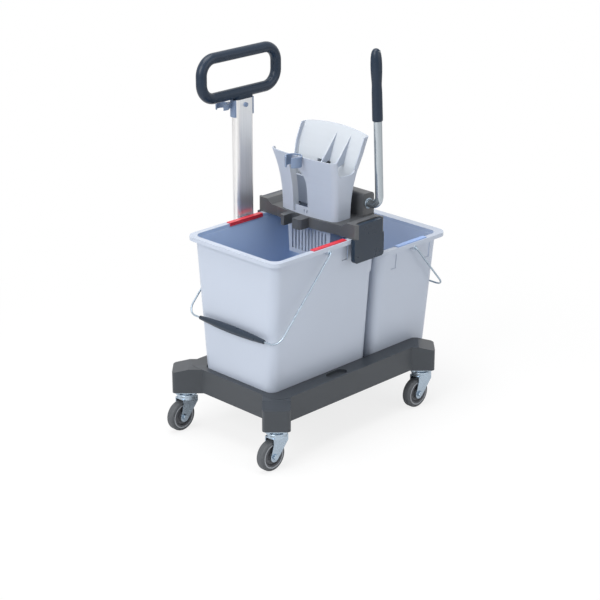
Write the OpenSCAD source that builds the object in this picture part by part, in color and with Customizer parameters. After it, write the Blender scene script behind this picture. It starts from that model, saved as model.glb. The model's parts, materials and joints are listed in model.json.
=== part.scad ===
// Double mop bucket trolley: castor base, two buckets, a press wringer with a lever and a push handle.
// X runs along the trolley with the small bucket at +X. Y runs across it with the push handle at +Y.
// Z is up from the floor. The origin is on the floor, in the middle of the trolley's outer box.

/* [Casters] */
// Distance between the swivel axes along the trolley
caster_span_x = 504; // [480:1:540]
// Distance between the swivel axes across the trolley
caster_span_y = 312; // [290:1:330]
// Height from the floor to the underside of the base
caster_h = 103; // [100:1:125]
// How far a wheel's axle trails behind its swivel axis
caster_trail = 20; // [12:1:24]
// Diameter of a wheel over its tyre
wheel_d = 75; // [60:1:78]
// Width of a tyre
wheel_w = 22; // [18:1:26]
// Thickness of a tyre
tyre_t = 9; // [6:0.5:12]
// Diameter of an axle bolt
axle_d = 8; // [6:0.5:10]
// Thickness of the pressed fork sheet
fork_t = 2.5; // [2:0.5:4]
// Diameter of the swivel bearing cup
race_d = 46; // [40:1:50]
// Diameter of the kingpin
kingpin_d = 12; // [8:0.5:14]

/* [Base] */
// Length of the base over its end rails
base_l = 494; // [486:1:510]
// Width of the base over its side rails
base_w = 322; // [312:1:336]
// Height of the base rails
base_h = 62.5; // [50:0.5:70]
// Wall thickness of the base moulding
base_wall = 4; // [3:0.5:6]
// Width of the ledge along each long side
ledge_side = 43; // [40:1:45]
// Width of the ledge at each end
ledge_end = 17; // [14:1:20]
// Depth of the well that the buckets stand in
well_depth = 27; // [15:1:32]
// Corner radius of the well
well_r = 20; // [8:1:28]
// Width of a corner arm
arm_w = 66; // [60:1:76]
// Distance from a swivel axis to the end face of its arm
arm_reach = 32; // [30:1:44]
// Height of an arm at its end face
arm_tip_h = 53; // [45:1:60]
// Corner radius of an arm's end
arm_r = 9; // [3:1:14]
// Length of the oval recess in the near ledge
recess_l = 62; // [40:1:80]
// Width of the oval recess
recess_w = 28; // [16:1:30]
// Depth of the oval recess
recess_depth = 6; // [3:0.5:8]

/* [Large bucket] */
// Length of the large bucket at its foot
large_foot_l = 323; // [296:1:326]
// Height of the large bucket
large_h = 357; // [320:1:380]
// Gap between a bucket's foot and each side of the well
foot_gap = 3; // [2.5:0.5:10]
// How much wider the large bucket's wall is at the rim than at the foot
large_spread_w = 47; // [20:1:50]
// How far the front wall leans out at the rim
large_spread_l = 9; // [4:1:14]
// How far the wall next to the small bucket leans out at the rim
large_inner_lean = 6; // [2:0.5:8]
// Corner radius of the bucket walls
bucket_r = 24; // [16:1:34]
// Wall thickness of both buckets
bucket_wall = 3; // [2:0.5:5]
// How far the rim stands out from the wall
rim_over = 12; // [9:0.5:16]
// How far the rim stands out on the sides where the buckets meet
rim_inner_over = 6; // [4:0.5:7]
// Corner radius of the rims
rim_r = 26; // [14:1:40]
// Height of the rim's skirt
rim_h = 10; // [8:0.5:14]

/* [Small bucket] */
// Height of the small bucket
small_h = 294; // [260:1:300]
// Length of the small bucket above the base's end rail
small_l = 207; // [195:1:225]
// How far the end wall leans out at the rim
small_spread_l = 12; // [4:1:18]
// How much wider the small bucket's wall is at the rim than at the foot
small_spread_w = 43; // [20:1:46]
// How far the rim stands out at the small bucket's far end
small_lip = 20; // [12:1:24]

/* [Bails] */
// Diameter of the bail wire
wire_d = 4.5; // [4:0.5:6]
// Diameter of the bail grips in their middle
bail_grip_d = 19; // [14:1:20]
// Length of the large bail's grip
large_grip_l = 218; // [160:1:240]
// Length of the small bail's grip
small_grip_l = 120; // [90:1:200]
// Distance of the large bail's pivot from the front of the rim
large_pivot_x = 178; // [166:1:180]
// Distance of the small bail's pivot from the far end of the rim
small_pivot_x = 120; // [112:1:128]
// Depth of both pivots below the top of the rim
pivot_drop = 14; // [12:0.5:18]
// Length of the large bail from its pivot to its bar
large_bail_l = 252; // [250:0.5:262]
// Angle of the large bail's arms below the level, in degrees
large_bail_angle = 46.8; // [40:0.2:47.2]
// Length of the small bail from its pivot to its bar
small_bail_l = 165; // [160:0.5:172]
// Angle of the small bail's arms below the level, in degrees
small_bail_angle = 49.2; // [42:0.2:50.4]

/* [Push handle] */
// Position of the mast along the trolley, from the middle of the base
mast_x = -44; // [-90:1:-30]
// Width of the mast's face
mast_w = 56; // [46:1:60]
// Depth of the mast
mast_t = 24; // [22:1:30]
// Wall thickness of the mast
mast_wall = 2; // [1.5:0.5:3]
// Height of the top of the mast above the floor
mast_top = 784; // [740:1:860]
// Gap between the large bucket's rim and the mast
mast_gap = 6; // [5:0.5:9]
// Outer width of the handle loop
loop_w = 266; // [230:1:300]
// Outer height of the handle loop
loop_h = 121; // [110:1:150]
// Diameter of the handle loop's tube
loop_d = 26; // [22:1:30]
// Bend radius of the loop's corners at the middle of the tube
loop_r = 38; // [30:1:40]
// Diameter of the release button
button_d = 11; // [8:0.5:14]
// Travel of the release button
button_travel = 3; // [2:0.5:4]
// Inner diameter of the pole clip's ring
pole_d = 25; // [22:0.5:28]

/* [Press] */
// Height of the press frame's plate
frame_h = 25; // [22:1:34]
// Depth of the press frame along the trolley
frame_l = 98; // [90:1:100]
// Rise of the frame's ends over its middle
frame_rise = 11; // [6:1:16]
// Thickness of the side plates
side_t = 11.5; // [8:0.5:14]
// Height of the side plates below the frame
side_drop = 58; // [40:1:70]
// Depth of the hopper's foot along the trolley
hopper_l = 63; // [60:1:66]
// Width of the hopper's foot
hopper_w = 182; // [168:1:190]
// Wall thickness of the hopper
hopper_wall = 3; // [2:0.5:4]
// Height of the hopper's front wall above the frame
hopper_front_h = 150; // [130:1:170]
// Height of the hopper's back wall above the frame
hopper_back_h = 203; // [190:1:215]
// Height of the hopper's side walls above the frame
hopper_side_h = 110; // [100:1:120]
// How far the front wall flares out at its top
hopper_front_flare = 24; // [12:1:30]
// How far the front wall bows out in its middle
hopper_bow = 9; // [4:1:12]
// Radius of the hopper's front corners
hopper_r = 14; // [8:1:18]
// How far the back wall leans out at its top
hopper_back_flare = 50; // [36:1:56]
// Depth of the sieve basket below the frame's top
basket_depth = 108; // [80:1:120]
// Width of the sieve basket at its top
basket_w = 146; // [130:1:156]
// Height of the lever's shaft above the frame's plate
shaft_h = 29.5; // [28:0.5:36]
// Diameter of the lever rod
lever_d = 20; // [18:1:20]
// Distance of the upright part of the lever from the middle of the trolley
lever_out = 140; // [138:1:146]
// Height of the top of the lever above its shaft
lever_h = 382; // [340:1:420]
// Lean of the lever towards the large bucket, in degrees
lever_lean = 3; // [0:0.5:5]
// Diameter of the lever grip at its top
lever_grip_d = 29; // [25:1:32]
// Length of the lever grip
lever_grip_l = 172; // [120:1:190]
// Travel of the press plate
plate_travel = 30; // [20:1:31]

/* [Hidden] */
$fn = 64;

// Flat strips in each round corner of a drafted body
shell_steps = 8;
// Overlap that makes a cut pass right through a face
cut = 1;
// Gap between faces on pieces that move apart
gap = 0.3;
// Radial running clearance of a pin in its hole
run = 0.06;
// Gap round a bucket's foot in the well
seat_gap = 1.2;

// Heights from the floor
base_z = caster_h;
ledge_z = base_z + base_h;
well_z = ledge_z - well_depth;
saddle_depth = 0.6 * well_depth;
saddle_z = ledge_z - saddle_depth;
large_rim_z = well_z + large_h;
small_rim_z = well_z + small_h;
frame_z = large_rim_z + gap;
plate_z = frame_z + frame_h;
shaft_z = plate_z + shaft_h;

// Well and the places of the buckets along the trolley
well_x0 = -base_l / 2 + ledge_end;
well_x1 = base_l / 2 - ledge_end;
well_y = base_w / 2 - ledge_side;
foot_w = 2 * (well_y - foot_gap);
large_x0 = well_x0 + seat_gap;
large_foot_x1 = large_x0 + large_foot_l;
large_x1 = large_foot_x1 + large_inner_lean;
large_top_w = foot_w + large_spread_w;
large_rim_x0 = large_x0 - large_spread_l - rim_over;
large_rim_x1 = large_x1 + rim_inner_over;
large_rim_y = large_top_w / 2 + rim_over;
rim_meet_gap = 1.5;
small_rim_x0 = large_rim_x1 + rim_meet_gap;
small_wall_x0 = small_rim_x0 + rim_inner_over;
small_foot_x0 = small_wall_x0 - 4;
small_foot_x1 = well_x1 - seat_gap;
small_x1 = small_foot_x0 + small_l;
small_top_w = foot_w + small_spread_w;
small_rim_x1 = small_x1 + small_spread_l + small_lip;
small_rim_y = small_top_w / 2 + rim_over;
rim_t = 4;
divider_x0 = large_foot_x1 + seat_gap;
divider_x1 = small_foot_x0 - seat_gap;

// Wheels
wheel_r = wheel_d / 2;
hub_r = wheel_r - tyre_t;
cheek_y = wheel_w / 2 + 1.6;
crown_z = wheel_d + 5;
race_z = crown_z + fork_t;
race_h = 8;
plate_t = 4;
caster_plate_z = caster_h - plate_t;

// Bails
bail_y = large_rim_y + wire_d / 2 + 1.4;
small_bail_y = small_rim_y + wire_d / 2 + 1.4;
large_pivot = [large_rim_x0 + large_pivot_x, large_rim_z - pivot_drop];
small_pivot = [small_rim_x1 - small_pivot_x, small_rim_z - pivot_drop];
pin_in = 9;
boss_r = wire_d / 2 + 5.5;

// Mast
mast_y = large_rim_y + mast_gap + mast_t / 2;
socket_h = 92;
socket_wall = 7;
mast_foot_z = ledge_z + 8;
loop_base_z = mast_top + 2;
loop_x = mast_x - 8;
button_drop = 14;
button_z = mast_top - button_drop;
flange_out = 2;

// Press
frame_x1 = large_rim_x1 - 7;
frame_x0 = frame_x1 - frame_l;
end_gap = 0.8;
frame_end_y = large_rim_y + end_gap + side_t;
hopper_x0 = frame_x0 - 3;
hopper_x1 = hopper_x0 + hopper_l;
basket_x0 = hopper_x0 + hopper_bow + 4;
basket_x1 = hopper_x1 - 6;
hopper_half = hopper_w / 2;
press_hub_r = lever_d / 2 + 3;
hub_side_gap = 1;
housing_wall = 5;
housing_w = 2 * (press_hub_r + hub_side_gap + housing_wall);
housing_h = 55;
shaft_x = hopper_x1 + 26 + housing_w / 2;
housing_x0 = shaft_x - housing_w / 2;
housing_x1 = shaft_x + housing_w / 2;
housing_y0 = -lever_out + 35;
housing_y1 = 48;
bush_r = press_hub_r;
arm_y0 = -8;
arm_y1 = 29;
press_arm_h = 87;
press_arm_t = 12;
nose_x = -17;
nose_up = 46;
nose_r = 6;
arm_side_gap = 3;
arm_slot_low = 34;
arm_slot_top = 119;
arm_slot_x1 = shaft_x + press_arm_t / 2 + arm_side_gap;
hood_t = 2.5;

// Middle of the outer box along the trolley
box_x0 = -caster_span_x / 2 - caster_trail - wheel_r;
box_x1 = small_rim_x1;
origin_x = (box_x0 + box_x1) / 2;

// Colours as they look
base_grey = [0.31, 0.33, 0.35];
frame_grey = [0.41, 0.41, 0.41];
slate = [0.22, 0.28, 0.36];
pale_blue = [0.74, 0.79, 0.87];
mid_blue = [0.48, 0.58, 0.76];
clip_red = [0.80, 0.16, 0.20];
clip_blue = [0.53, 0.65, 0.84];
zinc = [0.75, 0.77, 0.78];
alu = [0.80, 0.81, 0.83];
tyre_grey = [0.33, 0.34, 0.36];

// Puts a piece in the trolley's own frame
module placed() { translate([-origin_x, 0, 0]) children(); }

// Flat rectangle with round corners, from corner to corner
module round_rect(x0, y0, x1, y1, r) {
    translate([x0 + r, y0]) square([x1 - x0 - 2 * r, y1 - y0]);
    translate([x0, y0 + r]) square([x1 - x0, y1 - y0 - 2 * r]);
    for (x = [x0 + r, x1 - r], y = [y0 + r, y1 - r]) translate([x, y]) circle(r);
}

// Box with round upright edges
module round_box(x0, y0, z0, x1, y1, z1, r) {
    translate([0, 0, z0]) linear_extrude(z1 - z0) round_rect(x0, y0, x1, y1, r);
}

// Upright oval with round ends, centred on the Z axis
module oval(length, width, z0, z1) {
    r = width / 2;
    translate([0, 0, z0]) linear_extrude(z1 - z0) {
        translate([r - length / 2, -r]) square([length - width, width]);
        for (side = [-1, 1]) translate([side * (length / 2 - r), 0]) circle(r);
    }
}

// Plain box from corner to corner
module box(x0, y0, z0, x1, y1, z1) { translate([x0, y0, z0]) cube([x1 - x0, y1 - y0, z1 - z0]); }

// Cylinder along Y from y0 to y1
module bar_y(x, z, y0, y1, r) { translate([x, y0, z]) rotate([-90, 0, 0]) cylinder(h = y1 - y0, r = r); }

// Cylinder between two points
module rod(a, b, r) {
    d = b - a;
    len = norm(d);
    translate(a) rotate([0, acos(d[2] / len), atan2(d[1], d[0])]) cylinder(h = len, r = r);
}

// Outline in X and Z, swept across from y0 to y1
module side_outline(points, y0, y1) {
    translate([0, y1, 0]) rotate([90, 0, 0]) linear_extrude(y1 - y0) polygon(points);
}

// Outline in Y and Z, swept along from x0 to x1
module end_outline(points, x0, x1) {
    translate([x0, 0, 0]) rotate([90, 0, 90]) linear_extrude(x1 - x0) polygon(points);
}

// Quarter circle of points about a corner, and a level ring with four round corners
function corner_arc(x, y, r, from, steps) = [for (i = [0:steps]) let (a = from + 90 * i / steps)
    [x + r * cos(a), y + r * sin(a)]];
function round_ring(x0, x1, w, r, z) = let (half = w / 2 - r, n = shell_steps)
    [for (p = concat(corner_arc(x1 - r, half, r, 0, n), corner_arc(x0 + r, half, r, 90, n),
        corner_arc(x0 + r, -half, r, 180, n), corner_arc(x1 - r, -half, r, 270, n))) [p[0], p[1], z]];

// Drafted body: a round-cornered rectangle at the foot joined to one at the top by flat strips
module drafted(x0, x1, w, z0, tx0, tx1, tw, z1, r) {
    low = round_ring(x0, x1, w, r, z0);
    n = len(low);
    strips = [for (i = [0:n - 1]) let (j = (i + 1) % n) [i, i + n, j + n, j]];
    foot = [for (i = [0:n - 1]) i];
    top = [for (i = [n - 1:-1:0]) n + i];
    polyhedron(concat(low, round_ring(tx0, tx1, tw, r, z1)), concat(strips, [foot], [top]));
}

// Places children at each swivel axis
module at_casters() {
    for (sx = [-1, 1], sy = [-1, 1]) at_caster(sx, sy) children();
}

// Places children at one swivel axis
module at_caster(sx, sy) { translate([sx * caster_span_x / 2, sy * caster_span_y / 2, 0]) children(); }

// Corner arm along the diagonal, with a top that falls towards its end
module corner_arm() {
    inner = 90;
    shoulder = 8;
    shoulder_z = ledge_z - 0.5;
    half = arm_w / 2;
    intersection() {
        side_outline([[-inner, base_z], [arm_reach, base_z], [arm_reach, base_z + arm_tip_h],
            [-shoulder, shoulder_z], [-inner, ledge_z]], -half, half);
        round_box(-inner - arm_r, -half, base_z - cut, arm_reach, half, ledge_z + cut, arm_r);
    }
}

module base_frame() {
    hx = base_l / 2;
    hy = base_w / 2;
    rail_r = 36;
    floor_t = base_wall;
    inset = base_wall;
    rib_t = 3;
    rail_z = base_z + 2;
    rib_z = base_z + 4;
    rib_x = hx - inset / 2;
    rib_y = hy - inset / 2;
    recess_wall = 3;
    recess_x = -36;
    recess_y = -(well_y + hy) / 2;
    color(base_grey) placed() difference() {
        union() {
            difference() {
                round_box(-hx, -hy, rail_z, hx, hy, ledge_z, rail_r);
                round_box(well_x0, -well_y, well_z, well_x1, well_y, ledge_z + cut, well_r);
                round_box(-hx + inset, -hy + inset, base_z - cut, hx - inset, hy - inset,
                    well_z - floor_t, rail_r - inset);
                difference() {
                    round_box(-hx + inset, -hy + inset, well_z - floor_t - cut, hx - inset, hy - inset,
                        ledge_z - base_wall, rail_r - inset);
                    round_box(well_x0 - base_wall, -well_y - base_wall, base_z, well_x1 + base_wall,
                        well_y + base_wall, ledge_z, well_r + base_wall);
                }
            }
            for (x = [-hx / 2, 0, hx / 2])
                box(x - rib_t / 2, -rib_y, rib_z, x + rib_t / 2, rib_y, well_z - floor_t / 2);
            for (y = [-well_y / 2, well_y / 2])
                box(-rib_x, y - rib_t / 2, rib_z, rib_x, y + rib_t / 2, well_z - floor_t / 2);
            difference() {
                for (sx = [-1, 1], sy = [-1, 1])
                    at_caster(sx, sy) rotate([0, 0, atan2(sy, sx)]) corner_arm();
                round_box(well_x0 - inset / 2, -well_y - inset / 2, base_z - cut, well_x1 + inset / 2,
                    well_y + inset / 2, ledge_z + base_h, well_r + inset / 2);
            }
            box(well_x1, -well_y, saddle_z - base_wall, rib_x, well_y, saddle_z);
            box(divider_x0, -well_y - 1, well_z - floor_t / 2, divider_x1, well_y + 1,
                well_z + well_depth / 2);
            translate([recess_x, recess_y, 0]) oval(recess_l + 2 * recess_wall, recess_w + 2 * recess_wall,
                ledge_z - recess_depth - base_wall, ledge_z - base_wall / 2);
        }
        translate([recess_x, recess_y, 0]) oval(recess_l, recess_w, ledge_z - recess_depth, ledge_z + cut);
        box(well_x1 - well_r, -well_y, saddle_z, hx + arm_reach, well_y, ledge_z + cut);
        at_casters() caster_bolt_holes();
        socket_bolt_places() cylinder(h = 30, r = socket_bolt_r);
    }
}

// Four screw places on a caster plate
caster_bolt_r = 3;
caster_bolt_x = 19.5;
caster_bolt_l = 22;
module caster_bolt_places() {
    rotate([0, 0, 45]) for (sx = [-1, 1], sy = [-1, 1])
        translate([sx * caster_bolt_x, sy * caster_bolt_x, 0]) children();
}

module caster_bolt_holes() {
    caster_bolt_places() translate([0, 0, caster_h - cut])
        cylinder(h = caster_bolt_l + cut, r = caster_bolt_r);
}

module caster_plates() {
    half = caster_bolt_x + 8;
    color(zinc) placed() at_casters() difference() {
        union() {
            rotate([0, 0, 45]) round_box(-half, -half, caster_plate_z, half, half, caster_h, 6);
            translate([0, 0, race_z + race_h + gap])
                cylinder(h = caster_plate_z - race_z - race_h - gap + cut, r = race_d / 2 - 3);
        }
        cylinder(h = caster_h + cut, r = kingpin_d / 2);
        caster_bolt_places() translate([0, 0, caster_plate_z - cut])
            cylinder(h = plate_t + 2 * cut, r = caster_bolt_r);
    }
}

module caster_bolts() {
    head_h = 4;
    color(zinc) placed() at_casters() caster_bolt_places() {
        translate([0, 0, caster_plate_z]) cylinder(h = plate_t + caster_bolt_l, r = caster_bolt_r);
        translate([0, 0, caster_plate_z - head_h]) cylinder(h = head_h, r = 1.7 * caster_bolt_r, $fn = 6);
    }
}

module kingpins() {
    head_h = 4;
    head_top = crown_z - gap;
    color(zinc) placed() at_casters() {
        translate([0, 0, head_top - head_h / 2])
            cylinder(h = caster_h - head_top + head_h / 2, r = kingpin_d / 2);
        translate([0, 0, head_top - head_h]) cylinder(h = head_h, r = kingpin_d / 2 + 2);
    }
}

// Pressed fork: two teardrop cheeks, a crown and the lower bearing cup
module fork() {
    tip_r = 13;
    top_x = 23;
    shoulder_z = crown_z - 12;
    difference() {
        union() {
            for (side = [-1, 1]) {
                y0 = side > 0 ? cheek_y : -cheek_y - fork_t;
                side_outline([[-caster_trail - tip_r, wheel_r], [-top_x, shoulder_z], [-top_x, race_z],
                    [top_x, race_z], [top_x, shoulder_z],
                    [-caster_trail + tip_r * cos(40), wheel_r - tip_r * sin(40)]], y0, y0 + fork_t);
                bar_y(-caster_trail, wheel_r, y0, y0 + fork_t, tip_r);
            }
            box(-top_x, -cheek_y - fork_t, crown_z, top_x, cheek_y + fork_t, race_z);
            translate([0, 0, crown_z]) cylinder(h = fork_t + race_h, r = race_d / 2);
        }
        translate([0, 0, crown_z - cut]) cylinder(h = race_h + fork_t + 2 * cut, r = kingpin_d / 2 + run);
        bar_y(-caster_trail, wheel_r, -cheek_y - fork_t - cut, cheek_y + fork_t + cut, axle_d / 2);
    }
}

// Axle bolt with a hexagon head and a nut
module axle() {
    end = cheek_y + fork_t;
    head_h = 5;
    head_r = axle_d * 0.9;
    bar_y(-caster_trail, wheel_r, -end, end, axle_d / 2);
    for (y = [-end - head_h, end])
        translate([-caster_trail, y, wheel_r]) rotate([-90, 0, 0]) cylinder(h = head_h, r = head_r, $fn = 6);
}

// Wheel hub: boss, web and rim turned about the axle
module hub() {
    boss_r = axle_d / 2 + 7;
    boss_y = cheek_y - gap;
    web_y = 4;
    rim_y = wheel_w / 2 - 1.5;
    rim_in = hub_r - 5;
    bore = axle_d / 2 + run;
    translate([-caster_trail, 0, wheel_r]) rotate([90, 0, 0]) rotate_extrude() polygon([
        [bore, -boss_y], [boss_r, -boss_y], [boss_r + 2, -web_y], [rim_in - 2, -web_y], [rim_in, -rim_y],
        [hub_r, -rim_y], [hub_r, rim_y], [rim_in, rim_y], [rim_in - 2, web_y], [boss_r + 2, web_y],
        [boss_r, boss_y], [bore, boss_y]]);
}

// Tyre with round shoulders
module tyre() {
    shoulder = 6;
    half = wheel_w / 2;
    steps = 6;
    arc = [for (i = [0:steps]) let (a = 90 * i / steps)
        [wheel_r - shoulder + shoulder * sin(a), half - shoulder + shoulder * cos(a)]];
    mirrored = [for (i = [steps:-1:0]) [arc[i][0], -arc[i][1]]];
    outline = concat([[hub_r, half]], arc, mirrored, [[hub_r, -half]]);
    translate([-caster_trail, 0, wheel_r]) rotate([90, 0, 0]) rotate_extrude() polygon(outline);
}

module fork_at(sx, sy) { color(zinc) placed() at_caster(sx, sy) fork(); }
module axle_at(sx, sy) { color(zinc) placed() at_caster(sx, sy) axle(); }
module hub_at(sx, sy) { color(tyre_grey) placed() at_caster(sx, sy) hub(); }
module tyre_at(sx, sy) { color(tyre_grey) placed() at_caster(sx, sy) tyre(); }

// Rolled rim: a flange with a skirt hanging from its edge, on a neck that laps just outside the wall
module rim(x0, x1, y, wall_x0, wall_x1, wall_y, z) {
    lap = 0.5;
    neck = bucket_wall - lap;
    low = z - rim_h - cut;
    difference() {
        round_box(x0, -y, z - rim_h, x1, y, z, rim_r);
        round_box(wall_x0 + neck, -wall_y + neck, low, wall_x1 - neck, wall_y - neck, z + cut,
            bucket_r - neck);
        difference() {
            round_box(x0 + bucket_wall, -y + bucket_wall, low, x1 - bucket_wall, y - bucket_wall, z - rim_t,
                rim_r - bucket_wall);
            round_box(wall_x0 - lap, -wall_y - lap, low - cut, wall_x1 + lap, wall_y + lap, z,
                bucket_r + lap);
        }
    }
}

// Blind holes for the bent ends of a bail
module bail_holes(pivot, y) {
    end_gap = 0.5;
    for (side = [-1, 1]) mirror([0, side > 0 ? 0 : 1, 0])
        bar_y(pivot[0], pivot[1], y - pin_in - end_gap, y + cut, wire_d / 2 + run);
}

// Round bosses under the rim that carry the bent ends of a bail
module bail_bosses(pivot, wall_y, y) {
    for (side = [-1, 1]) mirror([0, side > 0 ? 0 : 1, 0])
        bar_y(pivot[0], pivot[1], wall_y - bucket_wall / 2, y - 0.5, boss_r);
}

// Shallow upright pockets in both long walls, a drop below the rim, square to a leaning wall
pocket_w = 18;
pocket_h = 37;
pocket_deep = 1.6;
module wall_pockets(x, wall_y, wall_top, lean, drop) {
    for (side = [-1, 1]) mirror([0, side > 0 ? 0 : 1, 0])
        translate([x, wall_y, wall_top]) rotate([-lean, 0, 0])
            translate([-pocket_w / 2, -pocket_deep, -drop - pocket_h])
                cube([pocket_w, pocket_deep + 10, pocket_h]);
}

module large_bucket() {
    top_x0 = large_x0 - large_spread_l;
    wall_y = large_top_w / 2;
    wall_top = large_rim_z - rim_h;
    wall_h = wall_top - well_z;
    floor_z = well_z + 4;
    shoulder_h = 95;
    shoulder_out = 5;
    inset = 0.6;
    share = 1 - shoulder_h / wall_h;
    lean = atan(large_spread_w / 2 / wall_h);
    pocket_x = large_rim_x1 - 113;
    pocket_drop = 5;
    t = bucket_wall;
    color(pale_blue) placed() difference() {
        union() {
            drafted(large_x0, large_foot_x1, foot_w, well_z, top_x0, large_x1, large_top_w, wall_top,
                bucket_r);
            drafted(large_x0 - large_spread_l * share + inset,
                large_foot_x1 + large_inner_lean * share + shoulder_out,
                foot_w + large_spread_w * share - 2 * inset, wall_top - shoulder_h, top_x0 + inset,
                large_x1 + shoulder_out, large_top_w - 2 * inset, wall_top + cut / 2, bucket_r);
            rim(large_rim_x0, large_rim_x1, large_rim_y, top_x0, large_x1, wall_y, large_rim_z);
            bail_bosses(large_pivot, wall_y, large_rim_y);
        }
        drafted(large_x0 + t, large_foot_x1 - t, foot_w - 2 * t, floor_z, top_x0 + t, large_x1 - t,
            large_top_w - 2 * t, wall_top + cut, bucket_r - t);
        bail_holes(large_pivot, large_rim_y);
        wall_pockets(pocket_x, wall_y, wall_top, lean, pocket_drop);
    }
}

// The small bucket's foot stands in the well, and the bucket steps out over the base's end rail
module small_bucket() {
    wall_y = small_top_w / 2;
    wall_top = small_rim_z - rim_h;
    floor_z = well_z + 4;
    step_z = saddle_z + gap;
    step_share = (step_z - well_z) / (wall_top - well_z);
    step_w = foot_w + small_spread_w * step_share;
    step_x0 = small_foot_x0 + (small_wall_x0 - small_foot_x0) * step_share;
    far_x1 = small_x1 + small_spread_l;
    shelf = 1.5;
    neck_x0 = step_x0 + shelf;
    neck_w = step_w - 2 * shelf;
    foot_r = bucket_r - 8;
    lean = atan((small_top_w - step_w) / 2 / (wall_top - step_z));
    pocket_drop = 10;
    pocket_in = [182, 61];
    t = bucket_wall;
    color(pale_blue) placed() difference() {
        union() {
            drafted(small_foot_x0, small_foot_x1, foot_w, well_z, neck_x0, small_foot_x1, neck_w,
                step_z + t / 2, foot_r);
            drafted(step_x0, small_x1, step_w, step_z, small_wall_x0, far_x1, small_top_w, wall_top,
                bucket_r);
            rim(small_rim_x0, small_rim_x1, small_rim_y, small_wall_x0, far_x1, wall_y, small_rim_z);
            bail_bosses(small_pivot, wall_y, small_rim_y);
        }
        drafted(small_foot_x0 + t, small_foot_x1 - t, foot_w - 2 * t, floor_z, neck_x0 + t,
            small_foot_x1 - t, neck_w - 2 * t, step_z + 2 * t, foot_r - t);
        drafted(step_x0 + t, small_x1 - t, step_w - 2 * t, step_z + t, small_wall_x0 + t, far_x1 - t,
            small_top_w - 2 * t, wall_top + cut, bucket_r - t);
        bail_holes(small_pivot, small_rim_y);
        for (x = [small_rim_x1 - pocket_in[0], small_rim_x1 - pocket_in[1]])
            wall_pockets(x, wall_y, wall_top, lean, pocket_drop);
    }
}

// Colour clips that hook over both long rims
module rim_clips(x0, x1, rim_y, wall_y, z) {
    t = 2;
    leg = 7;
    inner = wall_y - bucket_wall;
    for (side = [-1, 1]) mirror([0, side > 0 ? 0 : 1, 0]) {
        box(x0, inner - t, z, x1, rim_y - 4, z + t);
        box(x0, inner - t, z - leg, x1, inner, z + t / 2);
    }
}

clip_l = 108;
large_clip_in = 226;
small_clip_in = 178;
module large_rim_clips() {
    x0 = large_rim_x1 - large_clip_in;
    color(clip_red) placed() rim_clips(x0, x0 + clip_l, large_rim_y, large_top_w / 2, large_rim_z);
}

module small_rim_clips() {
    x0 = small_rim_x1 - small_clip_in;
    color(clip_blue) placed() rim_clips(x0, x0 + clip_l - 4, small_rim_y, small_top_w / 2, small_rim_z);
}

// Square bend of the bail wire in its own plane, about a centre
module wire_bend(centre, radius, from) {
    translate([centre[0], centre[1], 0]) rotate([0, 0, from])
        rotate_extrude(angle = 90) translate([radius, 0]) circle(wire_d / 2);
}

// Swings a bail that is drawn flat, with its arms along X, down to where it hangs
module hung(pivot, angle) { translate([pivot[0], 0, pivot[1]]) rotate([0, angle, 0]) children(); }

// Wire bail: bent ends in the rim, arms that run beside it, wide round corners and a cross bar
module bail(length, y, rim_y) {
    r = wire_d / 2;
    hinge_r = y - rim_y - 0.1;
    corner_r = 28;
    for (side = [-1, 1]) mirror([0, side > 0 ? 0 : 1, 0]) {
        rod([0, rim_y - pin_in, 0], [0, y - hinge_r, 0], r);
        wire_bend([hinge_r, y - hinge_r], hinge_r, 90);
        rod([hinge_r, y, 0], [length - corner_r, y, 0], r);
        wire_bend([length - corner_r, y - corner_r], corner_r, 0);
    }
    rod([length, corner_r - y, 0], [length, y - corner_r, 0], r);
}

// Moulded grip round a bail's bar, swollen in its middle
module bail_grip(x, length) {
    mid_r = bail_grip_d / 2;
    end_r = wire_d / 2 + 2.5;
    half = length / 2;
    n = 6;
    swell = [for (i = [-n:n]) [mid_r - (mid_r - end_r) * pow(i / n, 2), half * i / n]];
    translate([x, 0, 0]) rotate([-90, 0, 0]) rotate_extrude()
        polygon(concat(swell, [[wire_d / 2, half], [wire_d / 2, -half]]));
}

module large_bail() {
    color(zinc) placed() hung(large_pivot, 180 - large_bail_angle) bail(large_bail_l, bail_y, large_rim_y);
}

module large_bail_grip() {
    color(slate) placed() hung(large_pivot, 180 - large_bail_angle) bail_grip(large_bail_l, large_grip_l);
}

module small_bail() {
    color(zinc) placed() hung(small_pivot, small_bail_angle) bail(small_bail_l, small_bail_y, small_rim_y);
}

module small_bail_grip() {
    color(slate) placed() hung(small_pivot, small_bail_angle) bail_grip(small_bail_l, small_grip_l);
}

// Flat oval of the mast, grown or shrunk by a margin
module mast_oval(grow) {
    r = mast_t / 2 - 2;
    round_rect(mast_x - mast_w / 2 - grow, mast_y - mast_t / 2 - grow, mast_x + mast_w / 2 + grow,
        mast_y + mast_t / 2 + grow, r + grow);
}

socket_bolt_r = 4;
socket_bolt_deep = 20;
module socket_bolt_places() {
    for (side = [-1, 1])
        translate([mast_x + side * (mast_w / 2 - 6), base_w / 2 - 9, ledge_z - socket_bolt_deep]) children();
}

mast_bolt_up = [34, 70];
mast_bolt_z = [ledge_z + mast_bolt_up[0], ledge_z + mast_bolt_up[1]];
mast_bolt_r = 3;

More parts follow.
